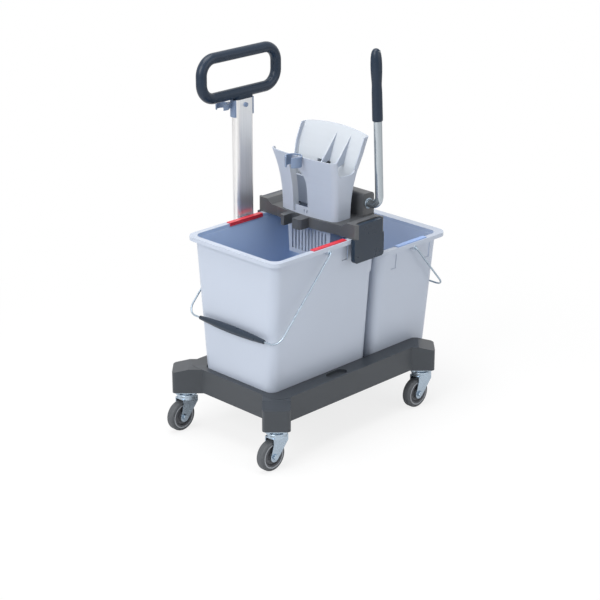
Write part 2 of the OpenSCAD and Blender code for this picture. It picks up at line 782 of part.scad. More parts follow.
// Moulded socket that stands on the far ledge and holds the mast's foot
module mast_socket() {
    y0 = mast_y - mast_t / 2 - socket_wall + 2;
    y1 = mast_y + mast_t / 2 + socket_wall;
    half = mast_w / 2 + socket_wall;
    lip_z = base_z + 12;
    foot_in = 24;
    foot_h = 8;
    color(base_grey) placed() difference() {
        union() {
            round_box(mast_x - half, y0, ledge_z, mast_x + half, y1, ledge_z + socket_h, 5);
            box(mast_x - half, base_w / 2, lip_z, mast_x + half, y1 - 4, ledge_z + 6);
            round_box(mast_x - half, base_w / 2 - foot_in, ledge_z, mast_x + half, y1,
                ledge_z + foot_h, 5);
        }
        translate([0, 0, mast_foot_z]) linear_extrude(socket_h) mast_oval(0);
        socket_bolt_places() cylinder(h = 40, r = socket_bolt_r);
        for (z = mast_bolt_z) bar_y(mast_x, z, y0 - cut, y1 + cut, mast_bolt_r);
    }
}

module socket_bolts() {
    bolt_l = socket_bolt_deep + mast_foot_z - ledge_z;
    color(zinc) placed() socket_bolt_places() cylinder(h = bolt_l, r = socket_bolt_r);
}

module mast_bolts() {
    y0 = mast_y - mast_t / 2 - socket_wall + 2;
    y1 = mast_y + mast_t / 2 + socket_wall;
    head_h = 4;
    color(zinc) placed() for (z = mast_bolt_z) {
        bar_y(mast_x, z, y0, y1, mast_bolt_r);
        bar_y(mast_x, z, y1, y1 + head_h, 2 * mast_bolt_r);
    }
}

module mast() {
    groove_r = 2;
    color(alu) placed() difference() {
        translate([0, 0, mast_foot_z]) linear_extrude(mast_top - mast_foot_z) difference() {
            mast_oval(0);
            mast_oval(-mast_wall);
            for (side = [-1, 1])
                translate([mast_x + side * (mast_w / 2 + groove_r / 2), mast_y]) circle(groove_r);
        }
        bar_y(mast_x, button_z, mast_y - mast_t, mast_y, button_d / 2 + gap);
        for (z = mast_bolt_z) bar_y(mast_x, z, mast_y - mast_t, mast_y + mast_t, mast_bolt_r);
    }
}

// Handle loop: four straight tubes and four bends, with a plug that fills the top of the mast
module handle_loop() {
    r = loop_d / 2;
    half_w = loop_w / 2 - r;
    z0 = loop_base_z + r;
    z1 = loop_base_z + loop_h - r;
    bx = half_w - loop_r;
    plug_h = 56;
    plug_side = mast_wall + 4;
    color(slate) placed() difference() {
        union() {
            translate([loop_x, mast_y, 0]) {
                for (z = [z0, z1]) rod([-bx, 0, z], [bx, 0, z], r);
                for (sx = [-1, 1]) {
                    rod([sx * half_w, 0, z0 + loop_r], [sx * half_w, 0, z1 - loop_r], r);
                    for (top = [0, 1])
                        translate([sx * bx, 0, top ? z1 - loop_r : z0 + loop_r]) rotate([90, 0, 0])
                            rotate([0, 0, top ? (sx > 0 ? 0 : 90) : (sx > 0 ? 270 : 180)])
                                rotate_extrude(angle = 90) translate([loop_r, 0]) circle(r);
                }
            }
            translate([mast_x, mast_y, 0]) {
                round_box(-mast_w / 2, -mast_t / 2, mast_top, mast_w / 2, mast_t / 2, z0, 8);
                round_box(-mast_w / 2 + plug_side, -mast_t / 2 + mast_wall, mast_top - plug_h,
                    mast_w / 2 - plug_side, mast_t / 2 - mast_wall, mast_top + cut, 6);
            }
        }
        bar_y(mast_x, button_z, mast_y - mast_t, mast_y + mast_t / 4, button_d / 2 + flange_out + gap);
    }
}

// Round push button with a retaining flange inside the mast wall
module handle_button() {
    face = mast_y - mast_t / 2;
    stand = button_travel + 0.5;
    color(mid_blue) placed() {
        bar_y(mast_x, button_z, face - stand, face + mast_wall + 4, button_d / 2);
        bar_y(mast_x, button_z, face + mast_wall + gap, face + mast_wall + 3, button_d / 2 + flange_out);
    }
}

// Flat return spring behind the button
module button_spring() {
    back = mast_y + mast_t / 4;
    color(zinc) placed() bar_y(mast_x, button_z, back - 2, back, button_d / 2 + 1);
}

// Pole clip: a collar round the back of the mast and an open ring that grips a pole
module pole_clip() {
    t = 4;
    collar_h = 42;
    ring_drop = 20;
    ring_h = 14;
    z0 = mast_top - collar_h;
    ring_z = mast_top - ring_drop;
    ring_r = pole_d / 2;
    cx = mast_x - mast_w / 2 - t - ring_r - 8;
    ring_clear = 7;
    cy = base_w / 2 + ring_r + ring_clear;
    mouth = 0.76 * pole_d;
    front = mast_y - 2;
    color(mid_blue) placed() union() {
        difference() {
            translate([0, 0, z0]) linear_extrude(mast_top - z0) mast_oval(t);
            translate([0, 0, z0 - cut]) linear_extrude(mast_top) mast_oval(0);
            box(mast_x - mast_w, mast_y - mast_t, z0 - cut, mast_x + mast_w, front - 6, mast_top + cut);
            bar_y(mast_x, button_z, mast_y - mast_t, mast_y, button_d);
        }
        difference() {
            union() {
                translate([cx, cy, ring_z]) cylinder(h = ring_h, r = ring_r + t);
                box(cx + ring_r, cy - 9, ring_z, mast_x - mast_w / 2 - 1, cy + 3, ring_z + ring_h);
            }
            translate([cx, cy, ring_z - cut]) cylinder(h = ring_h + 2 * cut, r = ring_r);
            translate([cx, cy, ring_z - cut]) rotate([0, 0, 200])
                translate([0, -mouth / 2, 0]) cube([pole_d, mouth, ring_h + 2 * cut]);
        }
    }
}

// Plan of the slot in a frame end that takes a side plate
side_tab = 10;
side_x0 = frame_x0 + side_tab;
side_x1 = frame_x1 - side_tab + 4;

// Lug with a round notch on the front of the frame, which holds a pole upright
notch_y = 21;
notch_r = 13.5;
lug_out = 42;
lug_x0 = frame_x0 - lug_out + 3;
notch_x = lug_x0 + 22;
module frame_lug() {
    round_box(lug_x0, notch_y - notch_r - 26, frame_z, frame_x0 + 8, notch_y + notch_r + 16, plate_z, 8);
}

module frame_notch() {
    translate([notch_x, notch_y, frame_z - cut]) cylinder(h = frame_h + 2 * cut, r = notch_r);
    box(lug_x0 - cut, notch_y - notch_r, frame_z - cut, notch_x, notch_y + notch_r, plate_z + cut);
}

module hopper_screw_places() {
    for (sx = [0, 1], sy = [-1, 1])
        translate([sx ? hopper_x1 - 9 : hopper_x0 + hopper_bow + 13, sy * (hopper_half - 9), 0]) children();
}

module housing_screw_places() {
    inset = 8.5;
    for (x = [housing_x0 + inset, housing_x1 - inset], y = [housing_y0 + 22, housing_y1 - 14])
        translate([x, y, 0]) children();
}

// Bow of the frame's front edge between its ends
frame_bow = 10;
bow_half = hopper_half + 8;
bow_r = (pow(bow_half, 2) + pow(frame_bow, 2)) / (2 * frame_bow);

screw_r = 2.5;
screw_l = 16;
basket_fit = 0.4;

module press_frame() {
    end = frame_end_y;
    top = plate_z + frame_rise;
    ramp0 = end - 46;
    ramp1 = end - 30;
    slit_y = large_rim_y + end_gap;
    slit_w = 3;
    slit_deep = 6;
    slit_in = 8;
    color(frame_grey) placed() difference() {
        union() {
            intersection() {
                end_outline([[-end, frame_z], [end, frame_z], [end, top], [ramp1, top], [ramp0, plate_z],
                    [-ramp0, plate_z], [-ramp1, top], [-end, top]], frame_x0, frame_x1);
                round_box(frame_x0, -end, frame_z - cut, frame_x1, end, top + cut, 7);
            }
            round_box(frame_x0 + 30, housing_y0 - 4, frame_z, housing_x1 + 3, housing_y1 + 4, plate_z, 8);
            frame_lug();
            intersection() {
                translate([frame_x0 - frame_bow + bow_r, 0, frame_z])
                    cylinder(h = frame_h, r = bow_r, $fn = 180);
                box(frame_x0 - frame_bow - cut, -bow_half, frame_z, frame_x0 + 20, bow_half, plate_z);
            }
        }
        frame_notch();
        box(basket_x0 - basket_fit, -basket_w / 2 - basket_fit, frame_z - cut, basket_x1 + basket_fit,
            basket_w / 2 + basket_fit, plate_z + cut);
        for (side = [-1, 1]) mirror([0, side > 0 ? 0 : 1, 0]) {
            box(side_x0, slit_y, frame_z - cut, side_x1, end + cut, top + cut);
            box(side_x0 + slit_in, slit_y - slit_w, top - slit_deep, side_x1 - slit_in, slit_y + cut,
                top + cut);
        }
        hopper_screw_places() translate([0, 0, plate_z - screw_l]) cylinder(h = screw_l + cut, r = screw_r);
        housing_screw_places() translate([0, 0, plate_z - screw_l]) cylinder(h = screw_l + cut, r = screw_r);
    }
}

// Side plate that drops through the frame's end and hangs outside the bucket's rim
module side_plate() {
    r = 9;
    y0 = large_rim_y + end_gap;
    y1 = y0 + side_t;
    x0 = frame_x0 - 3;
    x1 = frame_x1 - 1;
    z0 = frame_z - side_drop;
    translate([0, y1, 0]) rotate([90, 0, 0]) linear_extrude(side_t) union() {
        translate([side_x0, frame_z - cut]) square([side_x1 - side_x0, frame_h + frame_rise - 2 + cut]);
        translate([x0, z0 + r]) square([x1 - x0, side_drop - r]);
        translate([x0 + r, z0]) square([x1 - x0 - 2 * r, side_drop]);
        for (x = [x0 + r, x1 - r]) translate([x, z0 + r]) circle(r);
    }
}

module side_plate_far() { color(slate) placed() side_plate(); }
module side_plate_near() { color(slate) placed() mirror([0, 1, 0]) side_plate(); }

// Middle of the hopper's front and back walls and its half width, at a height above the frame
function flare_x(h) = hopper_x0 - hopper_front_flare * pow(min(h, hopper_front_h) / hopper_front_h, 2.4);
function back_x(h) = hopper_x1 + hopper_back_flare * pow(h / hopper_back_h, 2.2);
function hopper_side(h) = hopper_half + 13 * pow(min(1, h / hopper_front_h), 2);

// One level ring of the hopper's wall, counter-clockwise from above, with a bowed front and round corners
corner_steps = 5;
front_steps = 8;
function bowed(points, bow, half) = [for (p = points) [p[0] + bow * pow(p[1] / half, 2), p[1]]];
function hopper_ring(h, inset) = let (
    x0 = flare_x(h) + inset, x1 = back_x(h) - inset, half = hopper_side(h) - inset,
    r0 = hopper_r - inset, r1 = hopper_back_r - inset,
    n = corner_steps,
    front = concat(corner_arc(x0 + r0, half - r0, r0, 90, n),
        [for (i = [1:front_steps - 1]) [x0, (half - r0) * (1 - 2 * i / front_steps)]],
        corner_arc(x0 + r0, r0 - half, r0, 180, n)),
    back = concat(corner_arc(x1 - r1, r1 - half, r1, 270, n), corner_arc(x1 - r1, half - r1, r1, 0, n)))
    [for (p = concat(bowed(front, hopper_bow, half), back)) [p[0], p[1], plate_z + h]];

// Open hopper shell: outer rings from the foot up, then inner rings from the top down to the floor
hopper_back_r = 5;
hopper_steps = 12;
module hopper_shell() {
    t = hopper_wall;
    up = [for (i = [0:hopper_steps]) hopper_ring(hopper_back_h * i / hopper_steps, 0)];
    down = [for (i = [hopper_steps:-1:0]) hopper_ring(t + (hopper_back_h - t) * i / hopper_steps, t)];
    rings = concat(up, down);
    n = len(rings[0]);
    m = len(rings);
    points = [for (ring = rings) each ring];
    walls = [for (k = [0:m - 2], i = [0:n - 1]) let (a = k * n + i, b = k * n + (i + 1) % n)
        each [[a, a + n, b], [b, a + n, b + n]]];
    foot = [for (i = [0:n - 1]) i];
    floor_face = [for (i = [n - 1:-1:0]) (m - 1) * n + i];
    polyhedron(points, concat(walls, [foot], [floor_face]));
}

module hopper() {
    t = hopper_wall;
    cheek = hopper_side_h;
    slot_y0 = arm_y0 - arm_side_gap;
    slot_y1 = arm_y1 + arm_side_gap;
    ahead = flare_x(hopper_front_h) - 50;
    high = plate_z + hopper_back_h + cut;
    wide = hopper_half + 40;
    slot_back = hopper_x0 + 2 * t;
    slot_top = hopper_front_h - 32;
    cheek_x0 = flare_x(cheek) + hopper_bow;
    cheek_x1 = back_x(cheek);
    drain_w = 3;
    color(pale_blue) placed() difference() {
        union() {
            difference() {
                hopper_shell();
                side_outline([[ahead, plate_z + hopper_front_h], [cheek_x0 + t, plate_z + hopper_front_h],
                    [cheek_x0 + 14, plate_z + cheek + 6], [cheek_x0 + 22, plate_z + cheek],
                    [cheek_x1 - 20, plate_z + cheek], [cheek_x1 - 8, plate_z + cheek + 8],
                    [back_x(hopper_back_h) - 2 * t, high], [ahead, high]], -wide, wide);
                difference() {
                    box(hopper_x1, -wide, high - 40, back_x(hopper_back_h) + cut, wide, high);
                    translate([hopper_x1 - cut, 0, plate_z + hopper_back_h - arch_r]) rotate([0, 90, 0])
                        cylinder(h = hopper_back_flare + 4 * cut, r = arch_r, $fn = 180);
                }
            }
            back_ribs();
            arm_hood();
            slot_fin();
        }
        box(basket_x0 + t, -basket_w / 2 + t, plate_z - cut, basket_x1 - t, basket_w / 2 - t,
            plate_z + t + cut);
        box(hopper_x1 - 12, slot_y0, plate_z + arm_slot_low, arm_slot_x1, slot_y1, plate_z + arm_slot_top);
        translate([0, 0, plate_z]) end_outline([[front_slot_y0, 20], [front_slot_y1, 20],
            [front_slot_y1, slot_top], [front_slot_y0 + 20, slot_top], [front_slot_y0 + 8, slot_top - 14],
            [front_slot_y0, slot_top - 34]], ahead, slot_back);
        for (y = [front_slot_y0 + 3, front_slot_y0 + 12])
            box(ahead, y - drain_w / 2, plate_z + 6, slot_back, y + drain_w / 2, plate_z + 14);
        hopper_screw_places() translate([0, 0, plate_z - cut]) cylinder(h = t + 2 * cut, r = screw_r);
    }
}

// Radius of the arched top of the back wall
arch_r = 560;

// Sides of the tall slot in the hopper's front wall
front_slot_y0 = notch_y - 30;
front_slot_y1 = notch_y + 13;

// Two gussets on the inner face of the back wall
module back_ribs() {
    low = arm_slot_top + 5;
    top = hopper_back_h - 10;
    n = 6;
    rib_t = 4;
    free_x = hopper_x1 - 15;
    wall_side = [for (i = [0:n]) let (h = low + (top - low) * i / n)
        [back_x(h) - hopper_wall / 2, plate_z + h]];
    free_side = [[free_x, plate_z + low - 2], [free_x, plate_z + low - 10]];
    for (y = [-7.5, -53]) side_outline(concat(wall_side, free_side), y, y + rib_t);
}

// Closed hood on the back wall, which the rocker stands in
module arm_hood() {
    low = housing_h + gap;
    top = arm_slot_top + hood_t;
    n = 5;
    margin = arm_side_gap + hood_t;
    back = arm_slot_x1 + hood_t;
    wall_side = [for (i = [n:-1:0]) let (h = low + (top - low) * i / n)
        [back_x(h) - hopper_wall / 2, plate_z + h]];
    side_outline(concat(wall_side, [[back, plate_z + low], [back, plate_z + top]]), arm_y0 - margin,
        arm_y1 + margin);
}

// Upright fin along the far side of the front slot
module slot_fin() {
    low = 6;
    top = hopper_front_h - 28;
    n = 6;
    fin_t = 2.5;
    wall_mid = 1.2;
    ahead = 6;
    behind = 12;
    span = [for (i = [0:n]) low + (top - low) * i / n];
    front_side = [for (h = span) [flare_x(h) + wall_mid - ahead, plate_z + h]];
    back_side = [for (i = [n:-1:0]) [flare_x(span[i]) + wall_mid + behind, plate_z + span[i]]];
    side_outline(concat(front_side, back_side), front_slot_y1, front_slot_y1 + fin_t);
}

module hopper_screws() {
    head_h = 2.5;
    color(zinc) placed() hopper_screw_places() {
        translate([0, 0, plate_z - screw_l]) cylinder(h = screw_l + hopper_wall, r = screw_r);
        translate([0, 0, plate_z + hopper_wall]) cylinder(h = head_h, r = 1.8 * screw_r);
    }
}

// Slatted sieve basket that hangs through the frame into the large bucket
module sieve_basket() {
    t = hopper_wall;
    top = basket_w / 2;
    low = top - 7;
    z0 = plate_z - basket_depth;
    pitch = 11;
    slot = 5;
    n = floor((basket_w / 2 - 12) / pitch);
    floor_margin = 8;
    color(pale_blue) placed() difference() {
        end_outline([[-low, z0], [low, z0], [top, plate_z], [-top, plate_z]], basket_x0, basket_x1);
        end_outline([[-low + t, z0 + t], [low - t, z0 + t], [top - t, plate_z + cut],
            [-top + t, plate_z + cut]], basket_x0 + t, basket_x1 - t);
        for (i = [-n:n]) {
            y0 = i * pitch - slot / 2;
            box(basket_x0 - cut, y0, z0 + 10, basket_x1 + cut, y0 + slot, frame_z - 12);
            box(basket_x0 + floor_margin, y0, z0 - cut, basket_x1 - floor_margin, y0 + slot, z0 + t + cut);
        }
    }
}

// Open ring on the top of the hopper's front wall, which steadies a pole
module tool_rest() {
    x0 = flare_x(hopper_front_h);
    top = plate_z + hopper_front_h;
    t = 3.5;
    r = 21;
    drop = 22;
    low = top - drop;
    cx = x0 - 10;
    cy = notch_y - 16.5;
    mouth = 14;
    color(mid_blue) placed() difference() {
        translate([cx, cy, low]) cylinder(h = drop + t, r = r);
        translate([cx, cy, low - cut]) cylinder(h = drop + t + 2 * cut, r = r - t);
        box(x0 - gap, cy - 2 * r, low - cut, cx + 2 * r, cy + 2 * r, top);
        translate([cx, cy, low - cut]) rotate([0, 0, 190]) translate([0, -mouth / 2, 0])
            cube([r + cut, mouth, drop + t + 2 * cut]);
    }
}

// Hollow housing over the lever's shaft, with corner posts for its screws
post_h = 14;
post_r = 5;
post_screw_l = 10;
module lever_housing() {
    w = housing_wall;
    slot_y0 = arm_y0 - arm_side_gap;
    slot_y1 = arm_y1 + arm_side_gap;
    slot_z = plate_z + 18;
    top = plate_z + housing_h;
    r = 9;
    color(frame_grey) placed() difference() {
        union() {
            difference() {
                translate([0, housing_y1, 0]) rotate([90, 0, 0]) linear_extrude(housing_y1 - housing_y0) {
                    round_rect(housing_x0, plate_z, housing_x1, top, r);
                    translate([housing_x0, plate_z]) square([housing_w, housing_h / 2]);
                }
                box(housing_x0 + w, housing_y0 + 2 * w, plate_z - cut, housing_x1 - w, housing_y1 - 2 * w,
                    top - w);
            }
            housing_screw_places() translate([0, 0, plate_z]) cylinder(h = post_h, r = post_r);
        }
        bar_y(shaft_x, shaft_z, housing_y0 - cut, housing_y1 - w / 2, bush_r);
        box(housing_x0 - cut, slot_y0, slot_z, housing_x1 - w, slot_y1, top + cut);
        housing_screw_places() translate([0, 0, plate_z - cut]) cylinder(h = post_screw_l + cut, r = screw_r);
    }
}

// Screws that come up through the frame into the housing's corner posts
module housing_screws() {
    color(zinc) placed() housing_screw_places() translate([0, 0, plate_z - screw_l])
        cylinder(h = screw_l + post_screw_l, r = screw_r);
}

// Two plain bushes that the lever's shaft turns in
module shaft_bushes() {
    length = 2 * housing_wall;
    color(slate) placed() for (y = [housing_y0, housing_y1 - length]) difference() {
        bar_y(shaft_x, shaft_z, y, y + (y > 0 ? length - housing_wall / 2 : length), bush_r);
        bar_y(shaft_x, shaft_z, y - cut, y + length + cut, lever_d / 2 + run);
    }
}

// Return spring round the shaft, closed up inside the housing
module return_spring() {
    y0 = housing_y0 + 2 * housing_wall;
    y1 = arm_y0 - arm_side_gap - 12;
    color(zinc) placed() difference() {
        bar_y(shaft_x, shaft_z, y0, y1, lever_d / 2 + 3.4);
        bar_y(shaft_x, shaft_z, y0 - cut, y1 + cut, lever_d / 2 + gap);
    }
}

// Lever rod: the shaft, a bend and a long arm, which lean together about the shaft
lever_bend = 26;
grip_cap = 6;
lever_l = lever_h / cos(lever_lean);

// Frame of the lever: its foot is on the shaft's axis and it leans towards the large bucket
module on_lever() { translate([shaft_x, 0, shaft_z]) rotate([0, -lever_lean, 0]) children(); }

module press_lever() {
    r = lever_d / 2;
    shaft_y1 = housing_y1 - housing_wall / 2 - gap;
    color(zinc) placed() on_lever() {
        bar_y(0, 0, -lever_out + lever_bend, shaft_y1, r);
        translate([0, -lever_out + lever_bend, lever_bend]) rotate([0, -90, 0])
            rotate([0, 0, 180]) rotate_extrude(angle = 90) translate([lever_bend, 0]) circle(r);
        translate([0, -lever_out, lever_bend]) cylinder(h = lever_l - lever_bend - grip_cap, r = r);
    }
}

// Grip on the lever: a swollen top, a waist and a plain lower part
module lever_grip() {
    r1 = lever_grip_d / 2;
    inner = lever_d / 2;
    r0 = inner + 2;
    waist = inner + 1;
    low = lever_l - lever_grip_l;
    color(slate) placed() on_lever() translate([0, -lever_out, low]) rotate_extrude() polygon([
        [inner, 0], [r0 - 1.5, 0], [r0, 3], [r0, lever_grip_l * 0.42], [waist, lever_grip_l * 0.5],
        [r1 - 0.5, lever_grip_l * 0.6], [r1, lever_grip_l * 0.75], [r1 - 0.5, lever_grip_l - 9],
        [r1 - 4, lever_grip_l - 2], [r1 - 8, lever_grip_l], [0, lever_grip_l], [0, lever_grip_l - grip_cap],
        [inner, lever_grip_l - grip_cap]]);
}

// Rocker on the shaft: a hub, an upright with a round top and a nose that pushes the press plate
module press_arm() {
    mid = (arm_y0 + arm_y1) / 2;
    half = (arm_y1 - arm_y0) / 2;
    half_t = press_arm_t / 2;
    round_z = shaft_z + press_arm_h - half;
    nose_y0 = arm_y0 + 4;
    nose_y1 = arm_y1 - 4;
    nose_z = shaft_z + nose_up;
    color(frame_grey) placed() difference() {
        union() {
            bar_y(shaft_x, shaft_z, arm_y0, arm_y1, press_hub_r);
            box(shaft_x - half_t, arm_y0, shaft_z, shaft_x + half_t, arm_y1, round_z);
            translate([shaft_x - half_t, mid, round_z]) rotate([0, 90, 0])
                cylinder(h = press_arm_t, r = half);
            bar_y(shaft_x + nose_x, nose_z, nose_y0, nose_y1, nose_r);
            box(shaft_x + nose_x, nose_y0, nose_z - nose_r, shaft_x, nose_y1, nose_z + nose_r);
        }
        bar_y(shaft_x, shaft_z, arm_y0 - cut, arm_y1 + cut, lever_d / 2);
    }
}

// Press plate that slides towards the hopper's front wall, with an upright pad for the rocker's nose
press_t = 8;
press_low = 8;
press_x1 = hopper_x1 - hopper_wall - 2;
module press_plate() {
    top = 74;
    pad_low = 44;
    pad_top = 71;
    edge_r = 3;
    half = hopper_half - hopper_wall - gap;
    back = shaft_x + nose_x - nose_r - 1;
    color(pale_blue) placed() union() {
        round_box(press_x1 - press_t, -half, plate_z + press_low, press_x1, half, plate_z + top, edge_r);
        box(press_x1 - press_t / 2, arm_y0 + 2, plate_z + pad_low, back, arm_y1 - 2, plate_z + pad_top);
    }
}

// Sliding feet under the ends of the press plate, on the hopper's floor
module plate_pads() {
    w = 5.5;
    half_l = 5.5;
    x = press_x1 - press_t / 2;
    y = basket_w / 2 - hopper_wall + 1;
    color(slate) placed() for (side = [-1, 1]) mirror([0, side > 0 ? 0 : 1, 0])
        box(x - half_l, y, plate_z + hopper_wall + gap, x + half_l, y + w, plate_z + press_low);
}

base_frame();
mast_socket();
socket_bolts();
mast();
mast_bolts();
handle_loop();
pole_clip();
handle_button();
button_spring();
caster_plates();
caster_bolts();
kingpins();
fork_at(-1, -1);  // fork_front_near
fork_at(-1, 1);  // fork_front_far
fork_at(1, -1);  // fork_rear_near
fork_at(1, 1);  // fork_rear_far
axle_at(-1, -1);  // axle_front_near
axle_at(-1, 1);  // axle_front_far
axle_at(1, -1);  // axle_rear_near
axle_at(1, 1);  // axle_rear_far
hub_at(-1, -1);  // hub_front_near
hub_at(-1, 1);  // hub_front_far
hub_at(1, -1);  // hub_rear_near
hub_at(1, 1);  // hub_rear_far
tyre_at(-1, -1);  // tyre_front_near
tyre_at(-1, 1);  // tyre_front_far
tyre_at(1, -1);  // tyre_rear_near
tyre_at(1, 1);  // tyre_rear_far
large_bucket();
large_rim_clips();
large_bail();
large_bail_grip();
small_bucket();
small_rim_clips();
small_bail();
small_bail_grip();
press_frame();
hopper();
hopper_screws();
sieve_basket();
side_plate_near();
side_plate_far();
tool_rest();
lever_housing();
housing_screws();
shaft_bushes();
return_spring();
press_lever();
lever_grip();
press_arm();
press_plate();
plate_pads();
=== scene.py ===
# %% [markdown]
# # A double mop bucket trolley, dressed in Blender
# The CAD model already has every solid of the trolley in its right place, in metres. This lesson
# loads it, gives each finish of the real thing its own node material, softens the moulded edges,
# and adds the small forms that a moulder or a welder leaves on the real pieces. The trolley could
# also be modelled afresh in Blender, but its joints and sizes would then have to be matched by
# hand. So the solids stay as they are, and are never moved.

# %% Load the trolley
import json
import math

import bmesh
import bpy
from mathutils import Matrix, Vector

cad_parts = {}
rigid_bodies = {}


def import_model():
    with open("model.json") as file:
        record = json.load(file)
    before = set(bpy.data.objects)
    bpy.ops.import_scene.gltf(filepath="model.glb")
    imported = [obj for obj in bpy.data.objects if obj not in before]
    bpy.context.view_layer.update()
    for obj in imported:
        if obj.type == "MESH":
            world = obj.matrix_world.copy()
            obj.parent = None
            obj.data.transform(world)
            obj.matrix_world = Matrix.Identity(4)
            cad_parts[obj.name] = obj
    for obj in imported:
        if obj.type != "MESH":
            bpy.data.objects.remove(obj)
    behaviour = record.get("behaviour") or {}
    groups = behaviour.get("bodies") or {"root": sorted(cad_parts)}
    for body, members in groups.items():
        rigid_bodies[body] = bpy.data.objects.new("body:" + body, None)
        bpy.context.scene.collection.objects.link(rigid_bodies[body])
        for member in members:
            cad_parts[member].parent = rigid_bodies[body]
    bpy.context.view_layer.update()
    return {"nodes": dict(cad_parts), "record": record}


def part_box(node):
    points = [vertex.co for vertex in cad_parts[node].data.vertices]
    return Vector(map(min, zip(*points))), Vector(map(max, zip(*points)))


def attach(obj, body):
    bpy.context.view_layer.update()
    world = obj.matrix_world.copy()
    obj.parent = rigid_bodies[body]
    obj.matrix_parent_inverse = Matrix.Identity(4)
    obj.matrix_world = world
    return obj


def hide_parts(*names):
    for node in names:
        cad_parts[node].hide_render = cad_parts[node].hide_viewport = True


for leftover in list(bpy.data.objects):
    bpy.data.objects.remove(leftover)
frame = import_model()

# %% [markdown]
# ## Camera
# The photograph looks down on the trolley's front corner, through a long lens from far away, which
# keeps the upright edges nearly parallel. A camera could be turned by eye until it looks right, but
# its small errors would then pass for errors in the shapes. This one was solved from the four
# casters, which stand on one floor, so it is a place, a point to look at and a lens.


# %% Camera at the photograph's angle
def aim(thing, place, target):
    """Put a camera or a lamp at a place, and turn it to a target."""
    thing.location = place
    thing.rotation_mode = "QUATERNION"
    thing.rotation_quaternion = (Vector(target) - Vector(place)).to_track_quat("-Z", "Y")
    bpy.context.scene.collection.objects.link(thing)


camera_place = Vector((-2.8744, -2.8228, 1.8546))
camera_target = Vector((-0.02929, 0.00899, 0.30493))
camera_data = bpy.data.cameras.new("studio_camera")
camera_data.sensor_width = 36.0
camera_data.lens = 106.79
camera_data.clip_end = 100.0
camera = bpy.data.objects.new("studio_camera", camera_data)
aim(camera, camera_place, camera_target)
bpy.context.scene.camera = camera
print("camera distance:", round((camera_target - camera_place).length, 3), "m")

# %% [markdown]
# ## Stage and light
# A product photographer puts the object on a white sweep inside a light tent. The tent here is the
# world. A world bright enough to look white would flood the trolley with light, so the Light Path
# node splits it: the camera and the reflections see plain white, while the surfaces are lit by a
# softer level of the same white. The two helpers below serve the floor as well.


# %% Helpers for the stage's nodes
def add_node(tree, kind, **sockets):
    """A new node in a tree, with some of its sockets set by name."""
    node = tree.nodes.new(kind)
    for name, value in sockets.items():
        node.inputs[name.replace("_", " ")].default_value = value
    return node


def end_in_mix(tree, output_kind, share, first, second):
    """End a tree in the mix of two shaders."""
    mix = add_node(tree, "ShaderNodeMixShader")
    tree.links.new(share, mix.inputs[0])
    tree.links.new(first.outputs[0], mix.inputs[1])
    tree.links.new(second.outputs[0], mix.inputs[2])
    tree.links.new(mix.outputs[0], add_node(tree, output_kind).inputs["Surface"])


print("stage helpers ready")

# %% White tent
white = (1.0, 1.0, 1.0, 1.0)
tent_level = 0.42
scene = bpy.context.scene
scene.view_settings.view_transform = "Standard"
tent = bpy.data.worlds.new("tent")
tent.use_nodes = True
scene.world = tent
tent_tree = tent.node_tree
tent_tree.nodes.clear()
tent_seen = add_node(tent_tree, "ShaderNodeBackground", Color=white, Strength=1.0)
tent_light = add_node(tent_tree, "ShaderNodeBackground", Color=white, Strength=tent_level)
tent_path = add_node(tent_tree, "ShaderNodeLightPath")
tent_seen_by = tent_path.outputs["Is Camera Ray"]
for ray in ("Is Glossy Ray", "Is Transmission Ray"):
    either = add_node(tent_tree, "ShaderNodeMath")
    either.operation = "MAXIMUM"
    tent_tree.links.new(tent_seen_by, either.inputs[0])
    tent_tree.links.new(tent_path.outputs[ray], either.inputs[1])
    tent_seen_by = either.outputs[0]
end_in_mix(tent_tree, "ShaderNodeOutputWorld", tent_seen_by, tent_light, tent_seen)
print("tent light level:", tent_level)

# %% [markdown]
# ### Floor
# The sweep is one wide floor. A white floor alone would turn grey where the light falls off, and a
# glowing one would lose the shadow. So its paint mixes the camera's white into a plain diffuse
# surface, a little less of it near the trolley than far away. It holds the shadow under the casters
# and ends in white.

# %% Pale floor
floor_half = 9.0
floor_corners = [(x * floor_half, y * floor_half, 0.0) for x, y in ((-1, -1), (1, -1), (1, 1), (-1, 1))]
floor_mesh = bpy.data.meshes.new("floor")
floor_mesh.from_pydata(floor_corners, [], [(0, 1, 2, 3)])
floor = bpy.data.objects.new("floor", floor_mesh)
scene.collection.objects.link(floor)
print("floor:", 2 * floor_half, "m square")

# %% Floor paint
near_distance = 0.35
far_distance = 1.30
near_white = 0.80
floor_paint = bpy.data.materials.new("floor_paint")
floor_paint.use_nodes = True
floor_tree = floor_paint.node_tree
floor_tree.nodes.clear()
floor_matt = add_node(floor_tree, "ShaderNodeBsdfDiffuse", Color=(0.90, 0.90, 0.90, 1.0))
floor_white = add_node(floor_tree, "ShaderNodeEmission", Color=white, Strength=1.0)
floor_path = add_node(floor_tree, "ShaderNodeLightPath")
floor_place = add_node(floor_tree, "ShaderNodeNewGeometry")
floor_distance = add_node(floor_tree, "ShaderNodeVectorMath")
floor_distance.operation = "LENGTH"
floor_fade = add_node(floor_tree, "ShaderNodeMapRange", From_Min=near_distance, From_Max=far_distance,
                      To_Min=near_white, To_Max=1.0)
floor_fade.interpolation_type = "SMOOTHSTEP"
floor_share = add_node(floor_tree, "ShaderNodeMath")
floor_share.operation = "MULTIPLY"
floor_tree.links.new(floor_place.outputs["Position"], floor_distance.inputs[0])
floor_tree.links.new(floor_distance.outputs["Value"], floor_fade.inputs["Value"])
floor_tree.links.new(floor_path.outputs["Is Camera Ray"], floor_share.inputs[0])
floor_tree.links.new(floor_fade.outputs["Result"], floor_share.inputs[1])
